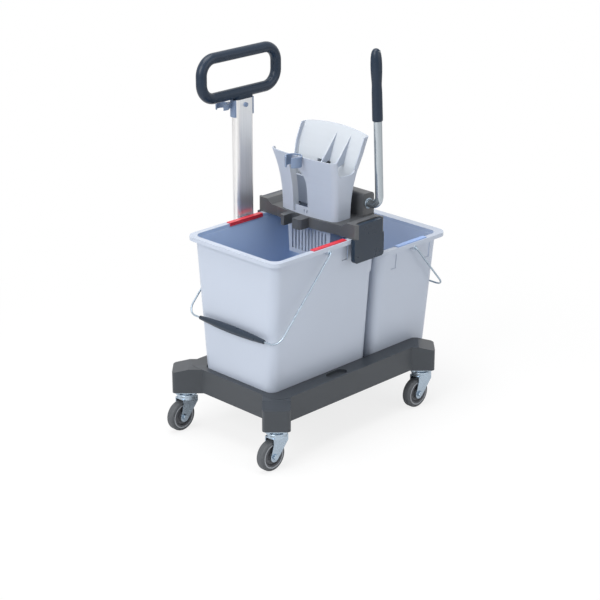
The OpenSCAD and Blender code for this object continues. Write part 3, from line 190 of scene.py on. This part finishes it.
end_in_mix(floor_tree, "ShaderNodeOutputMaterial", floor_share.outputs[0], floor_matt, floor_white)
floor_mesh.materials.append(floor_paint)
print("floor is all white from", far_distance, "m")

# %% [markdown]
# ### Lamps
# The photograph's shadows are faint and soft, so its lamps were large. One sun lamp would be shorter
# to write, but its shadows have hard edges. Three square area lamps give soft ones: a key from the
# left, one overhead, and a weak fill from the right.


# %% Soft lamps
def soft_lamp(name, place, target, side, watts):
    lamp_data = bpy.data.lights.new(name, "AREA")
    lamp_data.shape = "SQUARE"
    lamp_data.size = side
    lamp_data.energy = watts
    lamp = bpy.data.objects.new(name, lamp_data)
    aim(lamp, place, target)
    return lamp


middle = (0.0, 0.0, 0.4)
key_lamp = soft_lamp("key_lamp", (-3.2, -0.2, 2.4), middle, side=2.0, watts=74.0)
top_lamp = soft_lamp("top_lamp", (-0.4, 0.2, 4.0), middle, side=2.6, watts=100.0)
fill_lamp = soft_lamp("fill_lamp", (1.2, -3.4, 1.6), middle, side=2.4, watts=24.0)
print("lamps:", [(lamp.name, lamp.data.energy) for lamp in (key_lamp, top_lamp, fill_lamp)])

# %% [markdown]
# ## Finishes
# Painted images could colour the trolley, but they need files and unwrapped meshes, so each finish is
# built from the same few nodes: object coordinates, noises at two or three sizes, and one Principled
# shader. A coarse noise shifts the colour a little, as a moulding's wall does where it cools
# unevenly. A middle noise moves the roughness, which breaks up the highlights. A fine noise goes
# through Bump and gives the grain that the mould's face leaves. Pointiness finds the corners, and the
# colour is made a little lighter there. A number that is the same all over stays on the shader's own
# socket.


# %% Colours
def linear(red, green, blue):
    """A colour written as 0 to 255 on the screen, as the shader's linear values."""
    values = []
    for channel in (red, green, blue):
        share = channel / 255.0
        values.append(share / 12.92 if share <= 0.04045 else ((share + 0.055) / 1.055) ** 2.4)
    return (*values, 1.0)


def scaled(colour, factor):
    """The same colour, darker or lighter."""
    return (*[min(1.0, channel * factor) for channel in colour[:3]], 1.0)


print("mid grey is", round(linear(128, 128, 128)[0], 3), "in linear values")


# %% One class for every finish
class Finish:
    """One material with its Principled shader, and short calls for the nodes that finishes share."""

    def __init__(self, name):
        self.material = bpy.data.materials.new(name)
        self.material.use_nodes = True
        self.tree = self.material.node_tree
        self.shader = self.tree.nodes["Principled BSDF"]
        coordinates = self.tree.nodes.new("ShaderNodeTexCoord")
        self.place = coordinates.outputs["Object"]
        self.normal = coordinates.outputs["Normal"]

    def set(self, **sockets):
        for name, value in sockets.items():
            self.shader.inputs[name.replace("_", " ")].default_value = value

    def colour(self, output):
        self.tree.links.new(output, self.shader.inputs["Base Color"])

    def roughness(self, output):
        self.tree.links.new(output, self.shader.inputs["Roughness"])

    def stretched(self, along):
        mapping = self.tree.nodes.new("ShaderNodeMapping")
        mapping.inputs["Scale"].default_value = along
        self.tree.links.new(self.place, mapping.inputs["Vector"])
        return mapping.outputs["Vector"]

    def noise(self, size, detail=2.0, vector=None):
        node = self.tree.nodes.new("ShaderNodeTexNoise")
        node.inputs["Scale"].default_value = 1.0 / size
        node.inputs["Detail"].default_value = detail
        self.tree.links.new(vector or self.place, node.inputs["Vector"])
        return node.outputs["Fac"]

    def between(self, value, low, high, start=0.3, stop=0.7):
        node = self.tree.nodes.new("ShaderNodeMapRange")
        node.inputs["From Min"].default_value = start
        node.inputs["From Max"].default_value = stop
        node.inputs["To Min"].default_value = low
        node.inputs["To Max"].default_value = high
        self.tree.links.new(value, node.inputs["Value"])
        return node.outputs["Result"]

    def blend(self, share, first, second):
        node = self.tree.nodes.new("ShaderNodeMix")
        node.data_type = "RGBA"
        self.tree.links.new(share, node.inputs[0])
        for socket, colour in ((6, first), (7, second)):
            self.fill(node.inputs[socket], colour)
        return node.outputs[2]

    def vectors(self, operation, first, second):
        node = self.tree.nodes.new("ShaderNodeVectorMath")
        node.operation = operation
        self.fill(node.inputs[0], first)
        self.fill(node.inputs[1], second)
        return node

    def fill(self, socket, value):
        if isinstance(value, bpy.types.NodeSocket):
            self.tree.links.new(value, socket)
        else:
            socket.default_value = value

    def corners(self, start, stop):
        geometry = self.tree.nodes.new("ShaderNodeNewGeometry")
        return self.between(geometry.outputs["Pointiness"], 0.0, 1.0, start, stop)

    def bump(self, height, depth, strength):
        node = self.tree.nodes.new("ShaderNodeBump")
        node.inputs["Distance"].default_value = depth
        node.inputs["Strength"].default_value = strength
        self.tree.links.new(height, node.inputs["Height"])
        self.tree.links.new(node.outputs["Normal"], self.shader.inputs["Normal"])


print("finish class ready")

# %% [markdown]
# ### Moulded plastics
# The buckets, the base and the clips are all injection moulded. Each could have a material of its
# own, but one recipe with other numbers keeps them a family. The pale buckets are the smoothest, the
# base and the press frame carry a stronger spark-eroded grain that hides scuffs, the slate plates and
# the rim clips are the glossiest, and the wheels' hubs are the dullest. Sizes are in metres.

# %% Moulded plastic finishes
cooling_patch = 0.22
gloss_patch = 0.03
grain_depth = 0.0002
plastic_specular = 0.45
# Pointiness range over which the colour is made lighter at the corners.
lighter_corner_range = (0.52, 0.60)


def moulded_plastic(name, colour, grain, grain_strength, gloss, drift=0.05, corner_lift=0.12):
    finish = Finish(name)
    wall = finish.blend(finish.between(finish.noise(cooling_patch), 0.0, 1.0),
                        scaled(colour, 1.0 - drift), scaled(colour, 1.0 + drift))
    # The colour is made lighter at the corners.
    finish.colour(finish.blend(finish.corners(*lighter_corner_range), wall, scaled(colour, 1.0 + corner_lift)))
    finish.roughness(finish.between(finish.noise(gloss_patch, detail=3.0), *gloss))
    finish.bump(finish.noise(grain, detail=1.0), grain_depth, grain_strength)
    finish.set(Specular_IOR_Level=plastic_specular)
    print(name, "grain", grain * 1000, "mm")
    return finish.material


pale = linear(183, 192, 207)
bucket_grain = 0.0012
bucket_grain_strength = 0.04
bucket_gloss = (0.29, 0.33)
bucket_drift = 0.02
bucket_plastic = moulded_plastic("pale_bucket_plastic", pale, bucket_grain, bucket_grain_strength,
                                 bucket_gloss, bucket_drift, corner_lift=0.05)
base_plastic = moulded_plastic("base_plastic", linear(54, 59, 65), grain=0.0010, grain_strength=0.06,
                               gloss=(0.30, 0.36), drift=0.05, corner_lift=0.25)
frame_plastic = moulded_plastic("press_frame_plastic", linear(82, 84, 87), grain=0.0010,
                                grain_strength=0.08, gloss=(0.34, 0.42), drift=0.05, corner_lift=0.20)
slate_plastic = moulded_plastic("slate_plastic", linear(26, 41, 57), grain=0.0009, grain_strength=0.05,
                                gloss=(0.26, 0.32), drift=0.04, corner_lift=0.20)
clip_plastic = moulded_plastic("blue_grey_plastic", linear(118, 136, 164), grain=0.0010,
                               grain_strength=0.06, gloss=(0.28, 0.38))
red_plastic = moulded_plastic("red_clip_plastic", linear(205, 45, 60), grain=0.0010,
                              grain_strength=0.05, gloss=(0.26, 0.36))
light_blue_plastic = moulded_plastic("light_blue_clip_plastic", linear(140, 170, 220), grain=0.0010,
                                     grain_strength=0.05, gloss=(0.26, 0.36))
bead_plastic = moulded_plastic("bead_plastic", linear(150, 154, 160), grain=0.0010,
                               grain_strength=0.10, gloss=(0.32, 0.42))
hub_plastic = moulded_plastic("hub_plastic", linear(84, 86, 91), grain=0.0010,
                              grain_strength=0.15, gloss=(0.40, 0.52))

# %% [markdown]
# ### Walls with painted light inside
# The buckets are moulded in a pale plastic that lets some light through, so the inside, which is lit
# through the walls and from wall to wall, looks bluer than the outside. That light is painted here as a
# bluer colour on the inner faces. The hopper's inside is painted paler than its outside, which is painted
# light as well. A second material on the inner faces would do, but the CAD meshes stay as they are.
# Instead, a few vector nodes find the inner faces: there the surface points back towards the upright middle
# line.


# %% Bucket and hopper walls, with painted light inside
# The inner faces take a colour of their own, which is painted light: bluer in the buckets, paler in the
# hopper.
def wall_with_painted_inner_light(name, middle_line, outside, painted_inner_colour, turn):
    finish = Finish(name)
    offset = finish.vectors("SUBTRACT", finish.place, middle_line)
    level = finish.vectors("MULTIPLY", offset.outputs["Vector"], (1.0, 1.0, 0.0))
    facing = finish.vectors("DOT_PRODUCT", level.outputs["Vector"], finish.normal)
    # Share of the painted inner light: nought on outer faces, rising to one on faces that turn inwards.
    painted_inner_share = finish.between(facing.outputs["Value"], 0.0, 1.0, -turn, -3.0 * turn)
    wall = finish.blend(finish.between(finish.noise(cooling_patch), 0.0, 1.0),
                        scaled(outside, 1.0 - bucket_drift), scaled(outside, 1.0 + bucket_drift))
    # The painted inner light replaces the plastic's colour on the inner faces.
    finish.colour(finish.blend(painted_inner_share, wall, painted_inner_colour))
    finish.roughness(finish.between(finish.noise(gloss_patch, detail=3.0), *bucket_gloss))
    finish.bump(finish.noise(bucket_grain, detail=1.0), grain_depth, bucket_grain_strength)
    finish.set(Specular_IOR_Level=plastic_specular)
    print(name, "middle line at", [round(v, 3) for v in middle_line])
    return finish.material


bucket_turn = 0.02
hopper_turn = 0.005
# Inner colours are painted light, each with how sharply its wall turns to it.
inner_colour_with_painted_light = {
    "large_bucket": (linear(178, 200, 232), bucket_turn),
    "small_bucket": (linear(199, 214, 238), bucket_turn),
    # The hopper's paler inside colour is painted light.
    "hopper": (linear(198, 204, 211), hopper_turn)}
wall_of_node = {}
for node_name, (painted_inner_colour, turn) in inner_colour_with_painted_light.items():
    low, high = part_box(node_name)
    middle_line = (low + high) / 2.0
    wall_of_node[node_name] = wall_with_painted_inner_light(node_name + "_wall", middle_line, pale, painted_inner_colour, turn)

# %% [markdown]
# ### Metals
# The mast is an extruded tube, so its brushing runs straight up and stretches both its roughness and
# its bump. The forks, wires and bolts are zinc plated: bright, with faint cloudy spangles. The lever
# is plated smoother than that, and is nearly a mirror. One plain metal would serve all three, but it
# would make the trolley look cast from a single lump.


# %% Metal finishes
def brushed_aluminium(streaks_per_metre):
    finish = Finish("mast_aluminium")
    streaks = finish.noise(1.0, detail=3.0, vector=finish.stretched(streaks_per_metre))
    finish.colour(finish.blend(finish.between(streaks, 0.0, 1.0),
                               linear(222, 221, 221), linear(240, 239, 238)))
    finish.roughness(finish.between(streaks, low=0.30, high=0.44))
    finish.bump(streaks, depth=0.0001, strength=0.10)
    finish.set(Metallic=1.0, Anisotropic=0.35)
    print("mast brushing, streaks per metre:", streaks_per_metre)
    return finish.material


plating_grain = 0.0030


def zinc_plate(name, bright, gloss, cloud, metal=1.0):
    finish = Finish(name)
    spangle = finish.noise(cloud, detail=3.0)
    finish.colour(finish.blend(finish.between(spangle, 0.0, 1.0), scaled(bright, 0.96), bright))
    finish.roughness(finish.between(finish.noise(cloud / 3.0, detail=2.0), *gloss))
    finish.bump(finish.noise(plating_grain, detail=1.0), depth=0.00005, strength=0.02)
    finish.set(Metallic=metal)
    print(name, "clouds", cloud * 1000, "mm")
    return finish.material


mast_aluminium = brushed_aluminium(streaks_per_metre=(900.0, 900.0, 6.0))
zinc = zinc_plate("zinc_plate", linear(168, 182, 195), gloss=(0.26, 0.30), cloud=0.030)
lever_steel = zinc_plate("plated_lever", linear(172, 180, 186), gloss=(0.10, 0.14), cloud=0.030, metal=0.85)

# %% [markdown]
# ### Rubbers
# The loop, the lever grip and the tyres are soft to the touch. They could share the plastics' recipe,
# but rubber shows a fine grain and a bloom in cloudy patches instead of lighter corners. The grips are
# handled to a satin sheen. The tyres stay dull, in a mid grey that leaves no marks on a floor, and
# they pick up more of the dusty bloom.

# %% Rubber finishes
bloom_patch = 0.016
sheen_patch = 0.008
rubber_grain = 0.0008


def soft_rubber(name, colour, gloss, bloom, grain_strength):
    finish = Finish(name)
    patches = finish.between(finish.noise(bloom_patch, detail=4.0), 0.0, 1.0, start=0.40, stop=0.75)
    finish.colour(finish.blend(patches, colour, scaled(colour, 1.0 + bloom)))
    finish.roughness(finish.between(finish.noise(sheen_patch, detail=2.0), *gloss))
    finish.bump(finish.noise(rubber_grain, detail=2.0), grain_depth, grain_strength)
    finish.set(Specular_IOR_Level=0.35)
    print(name, "bloom", bloom)
    return finish.material


slate_grip = soft_rubber("slate_grip_rubber", linear(24, 40, 58), gloss=(0.30, 0.36), bloom=0.06,
                         grain_strength=0.04)
tyre_rubber = soft_rubber("grey_tyre_rubber", linear(80, 83, 87), gloss=(0.48, 0.58), bloom=0.16,
                          grain_strength=0.10)

# %% [markdown]
# ### Which solid takes which finish
# The record gives each solid a material slot, as a parts list does. Each solid could be dressed by
# name, one line apiece, but the slots already sort them into groups, so a dictionary from slot to
# finish is enough. Only the walls with an inside are looked up by their own names.

# %% Dress the solids
finish_of_slot = {
    "base_plastic": base_plastic, "frame_plastic": frame_plastic, "slate_plastic": slate_plastic,
    "slate_grip": slate_grip, "bucket_plastic": bucket_plastic, "blue_grey_plastic": clip_plastic,
    "red_plastic": red_plastic, "light_blue_plastic": light_blue_plastic, "mast_aluminium": mast_aluminium,
    "zinc": zinc, "lever_steel": lever_steel, "hub_plastic": hub_plastic, "tyre_rubber": tyre_rubber}
slot_of_node = {row["node"]: row["material_slot"] for row in frame["record"]["subparts"]}
for node_name, solid in frame["nodes"].items():
    solid.data.materials.clear()
    solid.data.materials.append(wall_of_node.get(node_name, finish_of_slot[slot_of_node[node_name]]))
print("finished solids:", len(slot_of_node))

# %% [markdown]
# ## Soft edges
# No moulded edge is sharp: the mould's corners are rounded so that the plastic flows, and those
# roundings catch the light as bright lines. The solids have sharp edges. The Bevel node would only
# shade them round, so a Bevel modifier rounds what is shown and leaves the solid's own mesh alone.
# The Weld modifier goes first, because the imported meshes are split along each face, and Weighted
# Normal goes last, so that broad faces stay flat right up to the rounding.


# %% Helpers for rounded edges
def soften(piece, width, segments, sharper_than):
    """Round the edges that are sharper than an angle in degrees."""
    bevel = piece.modifiers.new("soft_edges", "BEVEL")
    bevel.width = width
    bevel.segments = segments
    bevel.limit_method = "ANGLE"
    bevel.angle_limit = math.radians(sharper_than)


def keep_faces_flat(piece):
    normals = piece.modifiers.new("flat_faces", "WEIGHTED_NORMAL")
    normals.keep_sharp = True


print("rounding helpers ready")

# %% Round the moulded edges
edge_rounding_mm = {
    "base_frame": 2.6, "mast_socket": 1.8, "press_frame": 2.2, "lever_housing": 2.0, "press_arm": 1.5,
    "press_plate": 1.2, "side_plate_near": 2.2, "side_plate_far": 2.2, "pole_clip": 0.9,
    "handle_button": 0.8, "large_rim_clips": 0.6, "small_rim_clips": 0.6, "large_bail_grip": 1.0,
    "small_bail_grip": 1.0, "large_bucket": 1.1, "small_bucket": 1.1, "hopper": 0.8,
    "sieve_basket": 0.6, "tool_rest": 0.9, "plate_pads": 0.4}
caster_rounding_mm = 0.6
weld_distance = 0.00001
rounded = 0
for node_name, solid in frame["nodes"].items():
    width_mm = edge_rounding_mm.get(node_name)
    if width_mm is None and node_name.startswith(("fork_", "axle_", "hub_", "caster_")):
        width_mm = caster_rounding_mm
    solid.modifiers.new("weld", "WELD").merge_threshold = weld_distance
    if width_mm:
        soften(solid, width_mm / 1000.0, segments=3, sharper_than=40.0)
        rounded += 1
    keep_faces_flat(solid)
print("rounded solids:", rounded)

# %% [markdown]
# ## Small turned pieces
# Beads, caps, washers and grips are all round. The Screw modifier could turn them, but a function that
# writes the mesh can close the outline, lay the axis anywhere and put the piece on its body in one
# call. The outline is a closed loop of radius and height in millimetres, and the height runs along
# the axis that is asked for. Places come from the loaded solids and joints, so the trims stay with
# the pieces that they belong to.


# %% A lathe for small pieces
def lathe_mesh(name, outline_mm, steps=56):
    """A mesh with a closed outline turned once round the Z axis."""
    count = len(outline_mm)
    points = []
    faces = []
    for step in range(steps):
        angle = 2.0 * math.pi * step / steps
        following = (step + 1) % steps
        for i, (radius, height) in enumerate(outline_mm):
            across = radius / 1000.0
            points.append((across * math.cos(angle), across * math.sin(angle), height / 1000.0))
            j = (i + 1) % count
            faces.append((step * count + i, following * count + i, following * count + j, step * count + j))
    mesh = bpy.data.meshes.new(name)
    mesh.from_pydata(points, [], faces)
    build = bmesh.new()
    build.from_mesh(mesh)
    bmesh.ops.remove_doubles(build, verts=build.verts, dist=1e-7)
    bmesh.ops.recalc_face_normals(build, faces=build.faces)
    build.to_mesh(mesh)
    build.free()
    mesh.shade_smooth()
    return mesh


print("lathe ready")

# %% Put a turned piece on its body
trim_rounding = 0.0003


def turned_piece(name, outline_mm, place, axis, body, finish):
    mesh = lathe_mesh(name, outline_mm)
    mesh.materials.append(finish)
    piece = bpy.data.objects.new(name, mesh)
    tilt = Vector((0, 0, 1)).rotation_difference(Vector(axis)).to_matrix().to_4x4()
    piece.matrix_world = Matrix.Translation(place) @ tilt
    scene.collection.objects.link(piece)
    soften(piece, trim_rounding, segments=2, sharper_than=35.0)
    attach(piece, body)
    return piece


joint_rows = frame["record"]["behaviour"]["joints"]
joint_place = {row["name"]: Vector(row["pos_m"]) for row in joint_rows if "pos_m" in row}
print("joints with a place:", len(joint_place))

# %% [markdown]
# ### Wheels and casters
# A bead of lighter plastic covers the joint between each tyre and its hub, and a dished cap closes the
# hub's hollow on both sides. Over each swivel bearing hangs a pressed dust ring, which keeps dirty
# water out of the balls. A lighter line in the wheel's material could stand for the bead, but it would
# catch no light, so all three are turned.

# %% Beads, caps and dust rings
half_in_mm = 500.0
both_sides = ((0, -1, 0), (0, 1, 0))
cap = [(12.4, 3.6), (12.4, 6.6), (14.0, 7.2), (19.0, 6.6), (21.6, 5.6), (22.4, 4.4), (22.4, 3.6)]
skirt = [(20.2, 0.6), (23.0, 0.6), (23.4, -3.6), (24.6, -3.9), (24.9, 1.2), (24.0, 2.6), (20.2, 2.8)]
wheel_trims = []
for corner in ("front_near", "front_far", "rear_near", "rear_far"):
    tyre_low, tyre_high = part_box("tyre_" + corner)
    hub_low, hub_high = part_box("hub_" + corner)
    centre = (tyre_low + tyre_high) / 2.0
    tyre_side = (tyre_high.y - tyre_low.y) * half_in_mm
    hub_edge = (hub_high.z - hub_low.z) * half_in_mm
    bead = [(hub_edge - 1.7, tyre_side - 2.0), (hub_edge - 1.6, tyre_side - 0.2),
            (hub_edge - 0.8, tyre_side + 0.5), (hub_edge + 0.8, tyre_side + 0.5),
            (hub_edge + 1.6, tyre_side - 0.1), (hub_edge + 1.7, tyre_side - 2.0)]
    wheel = "wheel_" + corner
    for number, side in enumerate(both_sides):
        wheel_trims.append(turned_piece(f"tyre_bead_{corner}_{number}", bead, centre, side, wheel,
                                        bead_plastic))
        wheel_trims.append(turned_piece(f"hub_cap_{corner}_{number}", cap, centre, side, wheel,
                                        hub_plastic))
    swivel = joint_place["swivel_" + corner]
    ring_place = Vector((swivel.x, swivel.y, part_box("fork_" + corner)[1].z))
    wheel_trims.append(turned_piece(f"dust_ring_{corner}", skirt, ring_place, (0, 0, 1), "chassis",
                                    zinc))
print("wheel trims:", len(wheel_trims))

# %% [markdown]
# ### Bails and lever
# Each bail's wire passes through a thin washer before it enters its boss, and a plated collar closes
# the gap between the lever's shaft and its housing. They could be solids in the CAD model, but they
# carry no load, so they are turned here as trim.

# %% Washers and the shaft's collar
washer = [(2.5, -0.5), (2.5, 0.6), (4.6, 0.9), (6.4, 0.3), (6.6, -0.5)]
washers = []
for bucket in ("large", "small"):
    pivot = joint_place[bucket + "_bail_swing"]
    rim_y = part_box(bucket + "_bucket")[1].y
    for number, side in enumerate(both_sides):
        face = Vector((pivot.x, side[1] * rim_y, pivot.z))
        washers.append(turned_piece(f"{bucket}_bail_washer_{number}", washer, face, side,
                                    bucket + "_bucket", zinc))
shaft = joint_place["lever_press"]
collar = [(10.3, -0.5), (10.3, 1.2), (11.0, 1.7), (12.2, 1.4), (12.9, 0.7), (13.1, -0.5)]
collar_place = Vector((shaft.x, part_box("lever_housing")[0].y, shaft.z))
turned_piece("shaft_collar", collar, collar_place, (0, -1, 0), "press", zinc)
print("washers:", len(washers), "and a collar at", [round(v, 3) for v in collar_place])

# %% [markdown]
# ### Lever grip
# The grip is dipped onto the rod in one piece: a straight sleeve for the lower hand, a waist for the
# thumb, and a spindle that ends in a round tip. The solid steps through these with a few cones, and
# rounding their edges would leave the steps. A finer outline on the same lathe gives the soft shape,
# along the line from the lever's shaft through the middle of the solid, and replaces the solid.

# %% Turned lever grip
end_allowance = 1.2
rod_radius = 10.05
cap_thickness = 4.0
grip_low, grip_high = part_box("lever_grip")
grip_middle = (grip_low + grip_high) / 2.0
rod_line = Vector((grip_middle.x - shaft.x, 0.0, grip_middle.z - shaft.z)).normalized()
grip_length = (grip_high.z - grip_low.z) * 1000.0 / rod_line.z - end_allowance
grip_foot = grip_middle - rod_line * grip_length / 2000.0
radius_along_grip = [
    (12.0, 0.0), (12.5, 0.01), (12.6, 0.04), (12.5, 0.20), (12.4, 0.38), (12.1, 0.44), (11.7, 0.49),
    (11.9, 0.53), (12.6, 0.59), (13.3, 0.66), (13.6, 0.73), (13.5, 0.80), (12.9, 0.87), (11.7, 0.925),
    (9.6, 0.965), (6.6, 0.988), (3.2, 0.998), (0.0, 1.0)]
grip_outline = [(radius, share * grip_length) for radius, share in radius_along_grip]
grip_outline += [(0.0, grip_length - cap_thickness), (rod_radius, grip_length - 3.0 * cap_thickness),
                 (rod_radius, 0.0)]
lever_sleeve = turned_piece("lever_sleeve", grip_outline, grip_foot, rod_line, "lever",
                            slate_grip)
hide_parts("lever_grip")
print("lever grip:", round(grip_length, 1), "mm long")

# %% [markdown]
# ### Hopper lips
# The hopper's cheeks run on up the sides of its back wall as two narrow lips, which stiffen the tall
# wall and guide what is put in. The solid ends in a plain edge there. A straight bar would part from
# the wall, which leans back in a curve, so each lip is a strip swept up along the wall's own curve. It
# is about one wall thick, starts inside the cheek and stops level with the wall's corner.

# %% The curve of the hopper's back wall
hopper_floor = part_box("hopper")[0].z
back_rise = 0.203
back_flare = 0.050
back_curve = 2.2
back_top_x = 0.0916
half_widths = ((0.639, 0.0991), (0.656, 0.1016), (0.673, 0.1040), (0.720, 0.1040))


def back_face(z):
    """Where the back wall's outer face stands at this height."""
    share = (z - hopper_floor) / back_rise
    return back_top_x - back_flare * (1.0 - share ** back_curve)


def half_width(z):
    """Half the hopper's width at this height, between the measured levels."""
    for (z0, y0), (z1, y1) in zip(half_widths, half_widths[1:]):
        if z <= z1:
            return y0 + (y1 - y0) * (z - z0) / (z1 - z0)
    return half_widths[-1][1]


lip_low_z = 0.640
lip_high_z = 0.7138
print("back face runs from x", round(back_face(lip_low_z), 4), "to", round(back_face(lip_high_z), 4))

# %% Lips along the hopper's back wall
hopper_wall = 0.003
lip_depth = 0.013
lip_thick = 0.9 * hopper_wall
lip_into_wall = 0.6 * hopper_wall
lip_inset = 0.0001
lip_rounding = 0.0008
lip_steps = 14


def lip_section(z):
    """The four corners of a lip at this height, on the far side."""
    rear = back_face(z) - lip_into_wall
    front = back_face(z) - hopper_wall - lip_depth
    outer = half_width(z) - lip_inset
    inner = outer - lip_thick
    return (front, outer), (rear, outer), (rear, inner), (front, inner)


def hopper_lip(name, side):
    build = bmesh.new()
    rings = []
    for step in range(lip_steps + 1):
        z = lip_low_z + (lip_high_z - lip_low_z) * step / lip_steps
        rings.append([build.verts.new((x, side * y, z)) for x, y in lip_section(z)])
    for low, high in zip(rings, rings[1:]):
        for i in range(4):
            j = (i + 1) % 4
            build.faces.new((low[i], low[j], high[j], high[i]))
    build.faces.new(rings[0])
    build.faces.new(rings[-1])
    bmesh.ops.recalc_face_normals(build, faces=build.faces)
    mesh = bpy.data.meshes.new(name)
    build.to_mesh(mesh)
    build.free()
    mesh.materials.append(bucket_plastic)
    mesh.shade_smooth()
    lip = bpy.data.objects.new(name, mesh)
    scene.collection.objects.link(lip)
    soften(lip, lip_rounding, segments=3, sharper_than=40.0)
    keep_faces_flat(lip)
    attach(lip, "press")
    return lip


lips = [hopper_lip("hopper_lip_near", -1.0), hopper_lip("hopper_lip_far", 1.0)]
print("hopper lips:", [lip.name for lip in lips])
